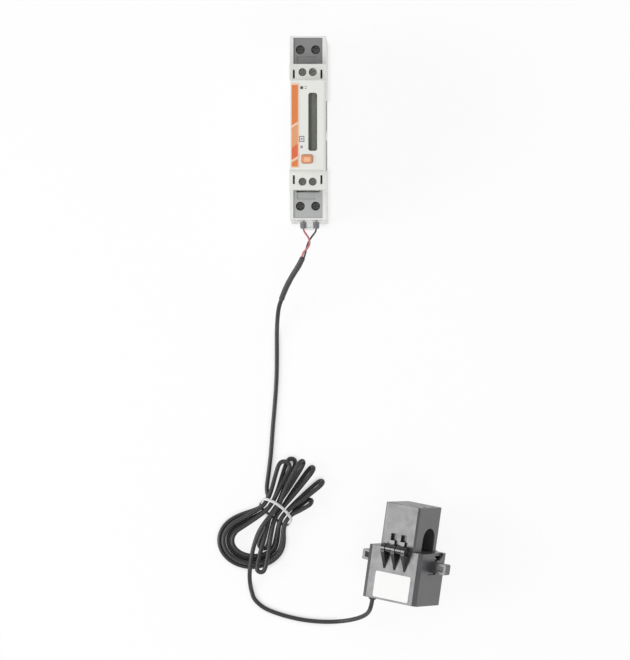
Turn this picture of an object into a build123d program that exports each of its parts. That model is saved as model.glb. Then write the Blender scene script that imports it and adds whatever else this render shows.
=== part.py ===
"""A one-module rail-mounted energy meter with its split-core current sensor on a tied-up lead.

Sizes are millimetres. The origin is the middle of the meter's back face, +Z points out of its
front panel and +Y runs up its long side. The meter lies on its back, and the lead and the
current sensor lie on the same surface, z = 0.
"""

from build123d import *
import math
import os

os.makedirs("parts", exist_ok=True)

# Overrun of cutting tools past a face, and the clearances between pieces
over = 1.0
seat_gap = 0.02
slip_gap = 0.1
running_gap = 0.05

# Meter housing
body_width = 18.0
body_length = 91.0
base_height = 43.0
step_length = 62.0
step_height = 50.0
panel_length = 44.0
panel_width = 17.3
front_height = 65.0
side_wall = 1.85
end_wall = 0.7
end_recess = 0.2
cover_wall = 1.5
cover_roof = 1.7
panel_edge_radius = 0.6
spigot_depth = 2.0
spigot_width = 1.0
spigot_length = 40.0

# Rail recess on the back
rail_width = 35.0
rail_depth = 6.3
rail_flange = 1.35
rail_slack = 0.3
hook_reach = 1.3
hook_slack = 0.2
recess_floor = 2.2

# Rail clip in its channel
clip_width = 9.0
clip_rib_width = 6.0
clip_bottom = 0.4
clip_step = 1.7
clip_top = 4.9
clip_nose_reach = 1.3
clip_bevel = 1.2
clip_travel = 3.0
clip_tab_width = 4.4
clip_tab_reach = 3.4
clip_groove = 0.8
clip_groove_inset = 0.9

# Mains terminals, two at each end
terminal_pitch = 7.6
terminal_place = 38.7
terminal_block_drop = 0.4
terminal_block_width = 14.1
terminal_block_inner = 23.0
terminal_shelf_height = 38.0
access_diameter = 4.4
screw_head_diameter = 4.15
screw_head_height = 2.2
screw_head_depth = 1.2
screw_head_corner = 0.3
screw_shank_diameter = 3.0
screw_slot_width = 0.7
screw_slot_depth = 0.8
cage_width = 5.0
cage_length = 4.7
cage_top_plate = 2.0
cage_floor = 1.5
cage_side = 0.75
cage_opening = 6.0
cage_travel = 2.8
cage_drop = 1.6
bar_width = 2.6
bar_thickness = 1.0
bar_tail = 3.0
clamped_gap = 1.54
entry_diameter = 5.0
entry_rise = 0.65

# Signal terminals, two on each step
signal_pitch = 5.0
signal_place = 27.0
signal_block_width = 10.4
signal_block_inner = 23.2
signal_access_diameter = 3.9
signal_head_diameter = 3.7
signal_head_height = 1.1
signal_shank_diameter = 2.0
signal_cage_width = 3.6
signal_cage_length = 3.3
signal_cage_top_plate = 0.9
signal_cage_floor = 0.8
signal_cage_side = 0.6
signal_cage_opening = 2.3
signal_cage_travel = 0.8
signal_cage_drop = 0.75
signal_bar_width = 1.6
signal_bar_thickness = 0.6
signal_bar_tail = 1.2
signal_clamped_gap = 0.8
signal_entry_diameter = 1.8
signal_mouth_width = 10.6
signal_mouth_bottom = 0.4
signal_mouth_height = 3.8
step_slot_place = 6.8
step_slot_width = 1.0
step_slot_length = 4.3
step_slot_centre = 26.0

# Front panel
stripe_left = -7.7
stripe_width = 3.75
stripe_top = 20.3
stripe_length = 41.4
label_thickness = 0.15
window_left = 0.7
window_width = 4.3
window_top = 15.6
window_length = 28.4
window_radius = 1.2
window_recess = 0.2
window_lip = 0.5
window_lip_thickness = 0.6
button_x = 0.05
button_y = -16.8
button_width = 5.2
button_length = 4.05
button_radius = 0.8
button_proud = 0.8
button_flange = 0.7
button_flange_thickness = 0.9
button_gap = 0.15
button_travel = 0.6
led_x = -2.54
led_y = 18.1
led_diameter = 1.5
led_flange_diameter = 3.0
led_flange_thickness = 2.6

# Boards and what stands on them
board_thickness = 1.6
front_board_drop = 5.0
front_board_width = 14.0
front_board_end_gap = 0.2
display_overlap = 0.85
display_thickness = 2.5
switch_size = 4.5
switch_body = 1.2
switch_plunger = 2.2
switch_height = 1.6
main_board_x = -5.9
main_board_lower_length = 45.6
main_board_upper_length = 38.0
main_board_shoulder = 40.0
capacitor_diameter = 10.0
capacitor_height = 11.0
capacitor_y = 10.0
capacitor_z = 20.0
capacitor_rim = 0.8
transformer_length = 13.0
transformer_height = 14.0
transformer_depth = 10.5
transformer_y = -9.5
transformer_z = 20.0
transformer_core_share = 0.55

# Side labels
side_label_low = 24.0
side_label_height = 17.0
side_label_upper_start = -1.1
side_label_upper_length = 14.7
side_label_lower_start = -20.5
side_label_lower_length = 14.5

# Lead: ferrules, cores, sleeve and cable
ferrule_collar_diameter = 3.2
ferrule_end_diameter = 2.6
ferrule_collar_length = 3.4
ferrule_gap = 0.6
ferrule_flute_count = 8
ferrule_flute_diameter = 0.5
ferrule_pin_diameter = 1.5
ferrule_pin_length = 9.4
ferrule_left_shift = 0.75
ferrule_left_lean = 2.5
ferrule_right_shift = 0.0
core_diameter = 1.1
core_first_run = 1.3
sleeve_diameter = 2.9
cable_diameter = 2.2
bend_share = 0.45
core_last_run_share = 1.5
red_way = ((0.2, -53.8, 29.3), (0.7, -57.0, 28.2), (-1.1, -59.5, 26.6), (-2.7, -60.7, 24.8))
black_way = ((1.6, -53.1, 28.0), (-0.2, -55.7, 25.4), (-1.2, -58.7, 23.6))
sleeve_way = (
    (-3.1, -63.4, 22.0),
    (-4.9, -67.2, 20.0),
    (-8.0, -71.6, 17.4),
    (-10.8, -76.4, 14.2),
    (-12.8, -80.6, 11.5),
    (-14.2, -84.3, 9.3),
)
# From the sleeve to the hank, with each height above where the cable lies on the table
sleeve_exit_run = 4.0
upper_way = (
    (-16.2, -92.8, 3.35),
    (-16.6, -99.4, 0.95),
    (-16.6, -107.5, 0),
    (-16.6, -117.5, 0),
    (-16.9, -127.0, 0),
    (-17.7, -137.5, 0),
    (-18.7, -149.0, 0),
)
hank_entry_run = 5.0
# From the hank to the sensor, with heights counted the same way
hank_exit_run = 2.4
lower_way = (
    (-26.3, -236.9, 0),
    (-22.6, -239.7, 0),
    (-17.2, -241.9, 0),
    (-10.6, -243.9, 0),
    (-2.6, -245.6, 0),
    (6.4, -246.4, 0),
    (14.0, -246.2, 1.15),
    (20.5, -245.2, 4.45),
    (25.8, -243.6, 8.65),
    (29.6, -241.2, 13.45),
)
outlet_run = 3.4

# Hank of the cable and its tie
waist_x = -16.9
waist_y = -190.6
waist_angle = 53.0
waist_run = 3.2
strand_pitch = 2.78
strand_columns = 6
layer_step = 2.7
table_gap = 0.05
waist_lift = 1.8
lift_flat = 9.0
lift_slope = 10.0
loop_centre_x = -29.3
loop_centre_y = -205.3
loop_half_width = 16.9
loop_half_height = 13.9
ring_inset_left = 4.6
ring_inset_right = 3.5
ring_inset_low = 4.0
layer_inset_left = 2.3
layer_inset_right = 1.0
layer_inset_low = 1.9
loop_first_angle = 112.0
loop_last_angle = 347.0
loop_end_turn = 5.0
loop_points = 9
flat_lobe_width = 4.6
open_lobe_width = 6.2
fold_width = 4.8
fold_lean = 60.0
short_fold_width = 5.6
top_fold_width = 5.0
steep_lean = 62.0
lobe_leg_shares = ((0.34, 0.60), (0.64, 0.86))
lobe_shoulder_share = 0.42
lobe_tip_share = 0.155
# Each loop's tip: its angle and its reach from the waist
short_fold_tip = (17.0, 18.6)
open_lobe_tip = (78.5, 25.4)
right_fold_tip = (33.0, 27.8)
flat_lobe_tip = (72.5, 27.6)
low_lobe_tip = (249.0, 20.0)
middle_fold_tip = (50.0, 28.9)
long_lobe_tip = (255.3, 31.5)
top_fold_tip = (62.0, 28.7)
long_lobe_levels = (1.5, 2, 2, 2, 2, 2, 1.2)
# The way into the hank and out of it: x, y and the layer
hank_way_in = ((-20.1, -166.0, 0), (-20.9, -172.5, 0), (-21.9, -180.0, 0))
hank_way_out = (
    (-15.2, -187.6, 2),
    (-18.6, -191.6, 2),
    (-22.4, -195.8, 2),
    (-25.8, -201.2, 2),
    (-27.8, -207.0, 2),
    (-29.2, -213.0, 2),
    (-30.0, -219.0, 2.05),
    (-30.3, -223.4, 1.2),
    (-30.1, -226.8, 0.35),
    (-29.7, -229.6, 0),
    (-29.05, -231.9, 0),
)
tie_width = 1.5
tie_thickness = 0.9
tie_lean = 36.0
tie_clearance = 0.6
tie_crown = 5.0
tie_corner_radius = 0.9
tie_crown_radius = 2.4

# Current sensor, in its own frame: x across, y from front to back, z up
sensor_x = 39.64
sensor_y = -234.5
sensor_heading = 7.9
sensor_roll = 30.0
sensor_pitch = 4.0
sensor_width = 31.0
sensor_depth = 24.8
sensor_height = 26.3
sensor_chamfer = 1.3
sensor_bevel_width = 2.2
sensor_bevel_depth = 1.1
sensor_wall = 1.2
sensor_roof = 1.5
sensor_cover_thickness = 1.6
cap_width = 19.8
cap_offset = 0.65
cap_front = 0.15
cap_back = 22.6
cap_height = 22.2
cap_gap = 0.1
cap_wall = 1.3
cap_corner = 0.9
cap_lid_thickness = 1.3
arch_width = 11.6
arch_height = 11.8
arch_y = 13.0
latch_width = 13.0
latch_depth = 6.0
latch_low = 12.0
latch_high = 26.0
latch_wall = 1.4
tongue_width = 9.0
tongue_thickness = 2.4
tongue_offset = 0.7
tongue_low = 17.5
tongue_high = 34.0
tongue_root = 6.5
pin_diameter = 1.8
pin_out = 2.4
pin_inset = 0.2
lug_count = 3
lug_pitch = 5.8
lug_centre = 0.85
lug_thickness = 2.2
lug_radius = 2.35
lug_tip_height = 15.9
claw_top = 24.0
claw_front = 4.3
claw_tip_out = 0.4
claw_root_width = 4.8
claw_front_width = 2.0
claw_tip_width = 0.7
claw_height_shares = (0, 0.33, 0.68, 1)
claw_depth_shares = (0, 0.24, 0.62, 1)
claw_width_shares = (0, 0.42, 0.85, 1)
arm_thickness = 3.2
arm_radius = 2.05
arm_top = 30.5
arm_front = -1.2
arm_pocket_top = 33.8
arm_pocket_depth = 2.0
ear_y = 12.2
ear_reach = 8.7
ear_thickness = 4.4
ear_height = 5.3
ear_low = 17.0
ear_edge = 0.8
ear_hole_length = 3.8
ear_hole_height = 2.6
ear_rim = 1.5
ear_groove_height = 1.3
ear_groove_depth = 0.8
ear_groove_length = 7.5
notch_start = 12.4
notch_length = 8.6
notch_height = 3.6
notch_depth = 1.2
pocket_width = 1.6
pocket_length = 2.0
pocket_depth = 0.8
pocket_y_shares = (0.30, 0.68)
core_thickness = 1.95
core_width = 12.0
core_yoke = 4.5
core_low = 5.0
core_clearance = 0.5
core_fit = 0.05
core_bridge = 0.7
bobbin_wall = 0.8
bobbin_flange = 0.8
winding_build = 1.9
sensor_label_left = -9.4
sensor_label_width = 20.3
sensor_label_low = 1.0
sensor_label_height = 13.0
sensor_label_corner = 1.0
outlet_x = -11.3
outlet_y = 3.5
outlet_diameter = 3.0
outlet_lip_diameter = 3.8
outlet_lip = 1.2
outlet_inside = 1.6
marking_width = 9.2
marking_length = 3.8
marking_inset = 0.4
marking_depth = 0.3
marking_offset = -0.85
hook_slot_width = 11.4
hook_slot_length = 0.75
hook_slot_depth = 2.0

# Worked out from the sizes above
half_width = body_width / 2
half_length = body_length / 2
half_step = step_length / 2
half_panel = panel_length / 2
end_face = half_length - end_recess
cavity_end = end_face - end_wall
cavity_half = half_width - side_wall
cavity_floor = rail_depth + recess_floor
hook_tip = rail_width / 2 - hook_reach
hook_root = rail_width / 2 + hook_slack
clip_side = -rail_width / 2 - rail_slack
block_top = base_height - terminal_block_drop
panel_inside = front_height - cover_roof
step_inside = step_height - cover_roof
cage_height = cage_top_plate + cage_opening + cage_floor
head_top = block_top - screw_head_depth
head_bottom = head_top - screw_head_height
cage_top = head_bottom - cage_drop
cage_bottom = cage_top - cage_height
bar_bottom = cage_bottom + cage_floor + clamped_gap
wire_height = cage_bottom + cage_floor + clamped_gap / 2
entry_height = wire_height - cage_travel / 2 + entry_rise
shaft_bottom = cage_bottom - cage_travel - slip_gap
signal_block_top = step_inside - running_gap
signal_head_bottom = signal_block_top + running_gap
signal_cage_height = signal_cage_top_plate + signal_cage_opening + signal_cage_floor
signal_cage_top = signal_head_bottom - signal_cage_drop
signal_cage_bottom = signal_cage_top - signal_cage_height
signal_bar_bottom = signal_cage_bottom + signal_cage_floor + signal_clamped_gap
signal_entry_height = signal_bar_bottom - signal_entry_diameter / 2
signal_shaft_bottom = signal_cage_bottom - signal_cage_travel - slip_gap
front_board_top = front_height - front_board_drop
front_board_bottom = front_board_top - board_thickness
front_board_length = panel_length - 2 * (cover_wall + front_board_end_gap)
window_x = window_left + window_width / 2
window_y = window_top - window_length / 2
floor_centre = cable_diameter / 2 + table_gap
ferrule_length = ferrule_collar_length + ferrule_pin_length
ferrule_tip = ferrule_pin_length - end_face - ferrule_gap
block_inner_face = half_step + slip_gap


def save(name, shape):
    """Write one node, as a compound where it is a group of separate solids."""
    solids = shape.solids()
    export_step(solids[0] if len(solids) == 1 else Compound(children=list(solids)), f"parts/{name}.step")


def block(x, y, z):
    """A box between two values on each axis."""
    centre = ((x[0] + x[1]) / 2, (y[0] + y[1]) / 2, (z[0] + z[1]) / 2)
    return Pos(*centre) * Box(abs(x[1] - x[0]), abs(y[1] - y[0]), abs(z[1] - z[0]))


def side_prism(points, x):
    """A closed outline of (y, z) points, carried across from x[0] to x[1]."""
    face = Plane.YZ.offset(x[0]) * make_face(Polyline(*points, close=True))
    return extrude(face, x[1] - x[0])


def rod(centre, diameter, z):
    """An upright cylinder between two heights."""
    return Pos(centre[0], centre[1], (z[0] + z[1]) / 2) * Cylinder(diameter / 2, z[1] - z[0])


def level_rod(x, z, diameter, y):
    """A cylinder along Y between two places."""
    turned = Pos(x, (y[0] + y[1]) / 2, z) * Rot(90, 0, 0)
    return turned * Cylinder(diameter / 2, abs(y[1] - y[0]))


def mirrored(shape, end):
    """The same piece at the upper end, or turned about the middle of the meter for the lower end."""
    return shape if end > 0 else mirror(shape, Plane.XZ)


def housing_base():
    outline = [
        (-half_length, 0),
        (clip_side, 0),
        (clip_side, rail_depth),
        (hook_root, rail_depth),
        (hook_root, rail_depth - rail_flange),
        (hook_tip, rail_depth - rail_flange),
        (hook_tip, 0),
        (half_length, 0),
        (half_length, base_height),
        (-half_length, base_height),
    ]
    base = side_prism(outline, (-half_width, half_width))
    inner = (-cavity_half, cavity_half)
    base -= block(inner, (-cavity_end, cavity_end), (cavity_floor, base_height + over))
    for end in (-1, 1):
        base -= block(inner, (end * end_face, end * (half_length + over)), (-over, base_height + over))
        for side in (-1, 1):
            entry = (end * (cavity_end - over), end * (half_length + over))
            base -= level_rod(side * terminal_pitch / 2, entry_height, entry_diameter, entry)
    run = (-half_length - over, clip_side + over)
    rib = clip_rib_width / 2 + slip_gap
    bar = clip_width / 2 + slip_gap
    base -= block((-rib, rib), run, (-over, clip_step + slip_gap))
    base -= block((-bar, bar), run, (clip_step - slip_gap, clip_top + slip_gap))
    return base


def rail_clip():
    tip = -rail_width / 2 + clip_nose_reach
    end = -end_face
    bar = [
        (end, clip_step),
        (tip - clip_bevel, clip_step),
        (tip, clip_step + clip_bevel),
        (tip, clip_top),
        (end, clip_top),
    ]
    clip = side_prism(bar, (-clip_width / 2, clip_width / 2))
    rib = clip_rib_width / 2
    clip += block((-rib, rib), (end, clip_side - clip_bevel), (clip_bottom, clip_step))
    tab = (-clip_tab_width / 2, clip_tab_width / 2)
    tab_end = end - clip_tab_reach
    clip += block(tab, (tab_end, end), (clip_step, clip_top))
    groove = (tab_end + clip_groove_inset, tab_end + clip_groove_inset + clip_groove)
    return clip - block((-clip_tab_width, clip_tab_width), groove, (clip_top - clip_groove, clip_top + over))


def front_cover():
    step = [
        (-half_step, base_height),
        (half_step, base_height),
        (half_step, step_height),
        (-half_step, step_height),
    ]
    cover = side_prism(step, (-half_width, half_width))
    panel_half = panel_width / 2
    panel = block((-panel_half, panel_half), (-half_panel, half_panel), (step_height - over, front_height))
    panel = fillet(panel.faces().sort_by(Axis.Z)[-1].edges(), panel_edge_radius)
    cover += panel
    inside = panel_half - cover_wall
    inner_end = half_step - cover_wall
    cover -= block((-cavity_half, cavity_half), (-inner_end, inner_end), (base_height - over, step_inside))
    panel_end = half_panel - cover_wall
    cover -= block((-inside, inside), (-panel_end, panel_end), (base_height, panel_inside))
    for side in (-1, 1):
        outer = side * (cavity_half - seat_gap)
        strip = (outer - side * spigot_width, outer)
        along = (-spigot_length / 2, spigot_length / 2)
        tongue = block(strip, along, (base_height - spigot_depth, base_height))
        root = (outer - side * spigot_width, side * (cavity_half + seat_gap))
        tongue += block(root, along, (base_height, base_height + spigot_depth))
        cover += tongue
    for end in (-1, 1):
        for side in (-1, 1):
            place = (side * signal_pitch / 2, end * signal_place)
            cover -= rod(place, signal_access_diameter, (step_inside - over, step_height + over))
            slot_x = side * step_slot_place
            slot = (slot_x - step_slot_width / 2, slot_x + step_slot_width / 2)
            middle = end * step_slot_centre
            along = (middle - step_slot_length / 2, middle + step_slot_length / 2)
            cover -= block(slot, along, (step_inside - over, step_height + over))
        mouth = (base_height + signal_mouth_bottom, base_height + signal_mouth_bottom + signal_mouth_height)
        wide = (-signal_mouth_width / 2, signal_mouth_width / 2)
        cover -= block(wide, (end * (inner_end - over), end * (half_step + over)), mouth)
    window = RectangleRounded(window_width, window_length, window_radius)
    cover -= extrude(Pos(window_x, window_y, panel_inside - over) * window, cover_roof + over + over)
    hole = (button_width + 2 * button_gap, button_length + 2 * button_gap)
    opening = RectangleRounded(*hole, button_radius + button_gap)
    cover -= extrude(Pos(button_x, button_y, panel_inside - over) * opening, cover_roof + over + over)
    cover -= rod((led_x, led_y), led_diameter + slip_gap, (panel_inside - over, front_height + over))
    return cover


def front_stripe():
    middle = (stripe_left + stripe_width / 2, stripe_top - stripe_length / 2, front_height)
    return extrude(Pos(*middle) * Rectangle(stripe_width, stripe_length), label_thickness)


def side_labels():
    low = side_label_low
    across = (half_width, half_width + label_thickness)
    spans = (
        (side_label_upper_start, side_label_upper_start + side_label_upper_length),
        (side_label_lower_start, side_label_lower_start + side_label_lower_length),
    )
    return Compound(children=[block(across, span, (low, low + side_label_height)) for span in spans])


def display_window():
    lip_top = panel_inside - seat_gap
    base = Pos(window_x, window_y, lip_top - window_lip_thickness)
    lip_size = (window_width + 2 * window_lip, window_length + 2 * window_lip)
    lip = extrude(base * RectangleRounded(*lip_size, window_radius), window_lip_thickness)
    lens_size = (window_width - slip_gap, window_length - slip_gap)
    lens = Pos(window_x, window_y, lip_top) * RectangleRounded(*lens_size, window_radius - slip_gap / 2)
    return lip + extrude(lens, front_height - window_recess - lip_top)


def display_module():
    wide = window_width + 2 * display_overlap
    long = window_length + 2 * display_overlap
    x = (window_x - wide / 2, window_x + wide / 2)
    y = (window_y - long / 2, window_y + long / 2)
    module = block(x, y, (front_board_top, front_board_top + display_thickness))
    return chamfer(module.faces().sort_by(Axis.Z)[-1].edges(), display_overlap / 2)


def push_button():
    flange_top = panel_inside - running_gap
    plate = Pos(button_x, button_y, flange_top - button_flange_thickness)
    flange_size = (button_width + 2 * button_flange, button_length + 2 * button_flange)
    flange = extrude(plate * RectangleRounded(*flange_size, button_radius), button_flange_thickness)
    face = Pos(button_x, button_y, flange_top) * RectangleRounded(button_width, button_length, button_radius)
    key = extrude(face, front_height + button_proud - flange_top)
    key = fillet(key.faces().sort_by(Axis.Z)[-1].edges(), button_proud / 2)
    return flange + key


def button_switch():
    body = Box(switch_size, switch_size, switch_body)
    body = Pos(button_x, button_y, front_board_top + switch_body / 2) * body
    body = chamfer(body.edges().filter_by(Axis.Z), (switch_size - switch_plunger) / 8)
    plunger = rod((button_x, button_y), switch_plunger, (front_board_top, front_board_top + switch_height))
    return body + plunger


def pulse_led():
    place = (led_x, led_y)
    foot = rod(place, led_flange_diameter, (front_board_top, front_board_top + led_flange_thickness))
    return foot + rod(place, led_diameter, (front_board_top, front_height))


def front_board():
    half = front_board_width / 2
    along = (-front_board_length / 2, front_board_length / 2)
    return block((-half, half), along, (front_board_bottom, front_board_top))


def main_board():
    lower = main_board_lower_length / 2
    upper = main_board_upper_length / 2
    outline = [
        (-lower, cavity_floor),
        (lower, cavity_floor),
        (lower, main_board_shoulder),
        (upper, main_board_shoulder),
        (upper, front_board_bottom),
        (-upper, front_board_bottom),
        (-upper, main_board_shoulder),
        (-lower, main_board_shoulder),
    ]
    return side_prism(outline, (main_board_x, main_board_x + board_thickness))


def supply_capacitor():
    face = main_board_x + board_thickness
    can = Pos(face, capacitor_y, capacitor_z) * Rot(0, 90, 0) * Cylinder(
        capacitor_diameter / 2, capacitor_height, align=(Align.CENTER, Align.CENTER, Align.MIN)
    )
    return fillet(can.faces().sort_by(Axis.X)[-1].edges(), capacitor_rim)


def supply_transformer():
    face = main_board_x + board_thickness
    y = (transformer_y - transformer_length / 2, transformer_y + transformer_length / 2)
    z = (transformer_z - transformer_height / 2, transformer_z + transformer_height / 2)
    core = block((face, face + transformer_depth), y, z)
    band = transformer_height * transformer_core_share / 2
    coil_x = (face + transformer_depth - core_thickness, face + transformer_depth + over)
    for side in (-1, 1):
        outer = transformer_z + side * (transformer_height / 2 + over)
        core -= block(coil_x, (y[0] - over, y[1] + over), (transformer_z + side * band, outer))
    return core


def terminal_block(end):
    inner = terminal_block_inner
    outer = cavity_end - seat_gap
    outline = [
        (inner, cavity_floor),
        (outer, cavity_floor),
        (outer, block_top),
        (block_inner_face, block_top),
        (block_inner_face, terminal_shelf_height),
        (inner, terminal_shelf_height),
    ]
    half = terminal_block_width / 2
    body = side_prism(outline, (-half, half))
    for side in (-1, 1):
        x = side * terminal_pitch / 2
        shaft_x = (x - cage_width / 2 - slip_gap, x + cage_width / 2 + slip_gap)
        shaft_y = (terminal_place - cage_length / 2 - slip_gap, terminal_place + cage_length / 2 + slip_gap)
        body -= block(shaft_x, shaft_y, (shaft_bottom, cage_top + slip_gap))
        place = (x, terminal_place)
        body -= rod(place, screw_shank_diameter + slip_gap, (cage_top, head_bottom))
        body -= rod(place, access_diameter, (head_bottom - running_gap, block_top + over))
        body -= level_rod(x, entry_height, entry_diameter, (terminal_place, cavity_end + over))
        tail = (shaft_y[0] - bar_tail, terminal_place)
        bar_z = (bar_bottom - seat_gap, bar_bottom + bar_thickness + seat_gap)
        body -= block((x - bar_width / 2 - seat_gap, x + bar_width / 2 + seat_gap), tail, bar_z)
    field_x = (marking_offset - marking_width / 2, marking_offset + marking_width / 2)
    field_y = (block_inner_face + marking_inset, block_inner_face + marking_inset + marking_length)
    body -= block(field_x, field_y, (block_top - marking_depth, block_top + over))
    if end < 0:
        slot_x = (-hook_slot_width / 2, hook_slot_width / 2)
        slot_y = (block_inner_face - over, block_inner_face + hook_slot_length)
        body -= block(slot_x, slot_y, (block_top - hook_slot_depth, block_top + over))
    return mirrored(body, end)


def signal_block(end):
    outer = half_step - cover_wall - slip_gap
    half = signal_block_width / 2
    body = block((-half, half), (signal_block_inner, outer), (terminal_shelf_height, signal_block_top))
    for side in (-1, 1):
        x = side * signal_pitch / 2
        shaft_x = (x - signal_cage_width / 2 - slip_gap, x + signal_cage_width / 2 + slip_gap)
        half_cage = signal_cage_length / 2 + slip_gap
        shaft_y = (signal_place - half_cage, signal_place + half_cage)
        body -= block(shaft_x, shaft_y, (signal_shaft_bottom, signal_cage_top + slip_gap))
        place = (x, signal_place)
        body -= rod(place, signal_shank_diameter + slip_gap, (signal_cage_top, signal_block_top + over))
        body -= level_rod(x, signal_entry_height, signal_entry_diameter, (signal_place, outer + over))
        tail = (shaft_y[0] - signal_bar_tail, signal_place)
        bar_z = (signal_bar_bottom - seat_gap, signal_bar_bottom + signal_bar_thickness + seat_gap)
        reach = signal_bar_width / 2 + seat_gap
        body -= block((x - reach, x + reach), tail, bar_z)
    return mirrored(body, end)


def terminal_bars():
    """The fixed contact bars that the wires are clamped against, a separate solid in each terminal."""
    bars = []
    for end in (-1, 1):
        for side in (-1, 1):
            x = side * terminal_pitch / 2
            back = terminal_place - cage_length / 2 - slip_gap - bar_tail
            front = terminal_place + cage_length / 2
            z = (bar_bottom, bar_bottom + bar_thickness)
            bars.append(mirrored(block((x - bar_width / 2, x + bar_width / 2), (back, front), z), end))
            x = side * signal_pitch / 2
            back = signal_place - signal_cage_length / 2 - slip_gap - signal_bar_tail
            front = signal_place + signal_cage_length / 2
            z = (signal_bar_bottom, signal_bar_bottom + signal_bar_thickness)
            reach = signal_bar_width / 2
            bars.append(mirrored(block((x - reach, x + reach), (back, front), z), end))
    return Compound(children=bars)


def clamp_screw(place, head, shank, tip, slot_angle):
    """A cheese-head screw: head is (bottom, top, diameter), shank runs from the head down to tip."""
    bottom, top, diameter = head
    top_edge = rod(place, diameter, (bottom, top))
    top_edge = chamfer(top_edge.faces().sort_by(Axis.Z)[-1].edges(), screw_head_corner)
    screw = top_edge + rod(place, shank, (tip, bottom))
    cross = None
    for turn in (0, 90):
        bar = Pos(place[0], place[1], top) * Rot(0, 0, slot_angle + turn)
        bar = bar * Box(diameter * 0.8, screw_slot_width, 2 * screw_slot_depth)
        cross = bar if cross is None else cross + bar
    return screw - cross


def clamp_cage(place, size, plates, top, shank):
    """A rising cage: a closed box frame, open along the wire, tapped for the screw in its top plate."""
    width, length, height = size
    top_plate, floor_plate, side = plates
    x, y = place
    cage = block((x - width / 2, x + width / 2), (y - length / 2, y + length / 2), (top - height, top))
    inside = (x - width / 2 + side, x + width / 2 - side)
    through = (y - length / 2 - over, y + length / 2 + over)
    cage -= block(inside, through, (top - height + floor_plate, top - top_plate))
    cage -= rod(place, shank + 2 * running_gap, (top - top_plate - over, top + over))
    return cage


def mains_terminal(side, end, lowered):
    """The screw and cage of one mains terminal; an open terminal's cage stands lower."""
    place = (side * terminal_pitch / 2, end * terminal_place)
    tip = bar_bottom + bar_thickness + 2 * running_gap
    turn = 20 * side + 15 * end
    head = (head_bottom, head_top, screw_head_diameter)
    screw = clamp_screw(place, head, screw_shank_diameter, tip, turn)
    top = cage_top - (cage_travel if lowered else 0)
    size = (cage_width, cage_length, cage_height)
    cage = clamp_cage(place, size, (cage_top_plate, cage_floor, cage_side), top, screw_shank_diameter)
    return screw, cage


def signal_terminal(side, end):
    place = (side * signal_pitch / 2, end * signal_place)
    tip = signal_bar_bottom + signal_bar_thickness + 2 * running_gap
    turn = 35 * side - 10 * end
    head = (signal_head_bottom, signal_head_bottom + signal_head_height, signal_head_diameter)
    screw = clamp_screw(place, head, signal_shank_diameter, tip, turn)
    size = (signal_cage_width, signal_cage_length, signal_cage_height)
    plates = (signal_cage_top_plate, signal_cage_floor, signal_cage_side)
    top = signal_cage_top - signal_cage_travel
    return screw, clamp_cage(place, size, plates, top, signal_shank_diameter)


def ferrule_place(side, along):
    """A place along a ferrule's line, counted outward from the tip of its pin."""
    x = side * terminal_pitch / 2 + (ferrule_left_shift if side < 0 else ferrule_right_shift)
    lean = ferrule_left_lean if side < 0 else 0
    return Pos(x, ferrule_tip, wire_height) * Rot(0, 0, lean) * Pos(0, -along, 0)


def ferrule(side):
    """A crimped ferrule: a fluted plastic collar and the bare pin that the cage clamps."""
    inner = ferrule_collar_length
    radius = ferrule_collar_diameter / 2
    outline = [
        (0, 0),
        (ferrule_end_diameter / 2, 0),
        (radius, (radius - ferrule_end_diameter / 2) * 2),
        (radius, inner),
        (ferrule_pin_diameter / 2, inner),
        (ferrule_pin_diameter / 2, ferrule_length),
        (0, ferrule_length),
    ]
    profile = make_face(Polyline(*outline, close=True))
    body = revolve(profile, Axis.Y)
    for i in range(ferrule_flute_count):
        a = math.radians((i + 0.5) * 360 / ferrule_flute_count)
        x_flute = radius * math.cos(a)
        z_flute = radius * math.sin(a)
        body -= level_rod(x_flute, z_flute, ferrule_flute_diameter, (-over, inner - over))
    return ferrule_place(side, ferrule_length) * body


def above_table(way):
    """A route whose heights are counted from where the cable lies on the table."""
    return [(x, y, floor_centre + rise) for x, y, rise in way]


def arc_radii(points, share):
    """The largest arc that the two runs beside each corner allow."""
    vectors = [Vector(*p) for p in points]
    radii = []
    for a, b, c in zip(vectors, vectors[1:], vectors[2:]):
        turn = math.radians((b - a).get_angle(c - b))
        radii.append(share * min((b - a).length, (c - b).length) / math.tan(turn / 2))
    return radii


def tube(name, points, diameter):
    """A round tube along straight runs joined by tangent arcs."""
    radii = arc_radii(points, bend_share)
    path = FilletPolyline(*points, radius=radii)
    section = Plane(origin=path @ 0, z_dir=path % 0) * Circle(diameter / 2)
    solid = sweep(section, path)
    whole = path.length * math.pi * diameter**2 / 4
    print(
        f"{name}: length {path.length:.1f}, least radius {min(radii):.2f}, "
        f"volume {solid.volume:.1f} against section times length {whole:.1f}"
    )
    return solid, path


def waist_point(along, across):
    """A place in the hank's own frame: along its strands, and across them to the left."""
    a = math.radians(waist_angle)
    x = waist_x + along * math.cos(a) - across * math.sin(a)
    return x, waist_y + along * math.sin(a) + across * math.cos(a)


def strand_height(x, y, level):
    """The strands lie in layers on the table, and rise a little where the tie passes under them."""
    away = math.hypot(x - waist_x, y - waist_y)
    t = min(max((away - lift_flat) / lift_slope, 0), 1)
    lift = waist_lift * (1 - t * t * (3 - 2 * t))
    return floor_centre + lift + layer_step * level


def column(index):
    return ((strand_columns - 1) / 2 - index) * strand_pitch


def waist_strand(index, level, upward):
    """One straight strand through the waist."""
    ends = [(*waist_point(s, column(index)), level) for s in (-waist_run, waist_run)]
    return ends if upward else ends[::-1]


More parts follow.
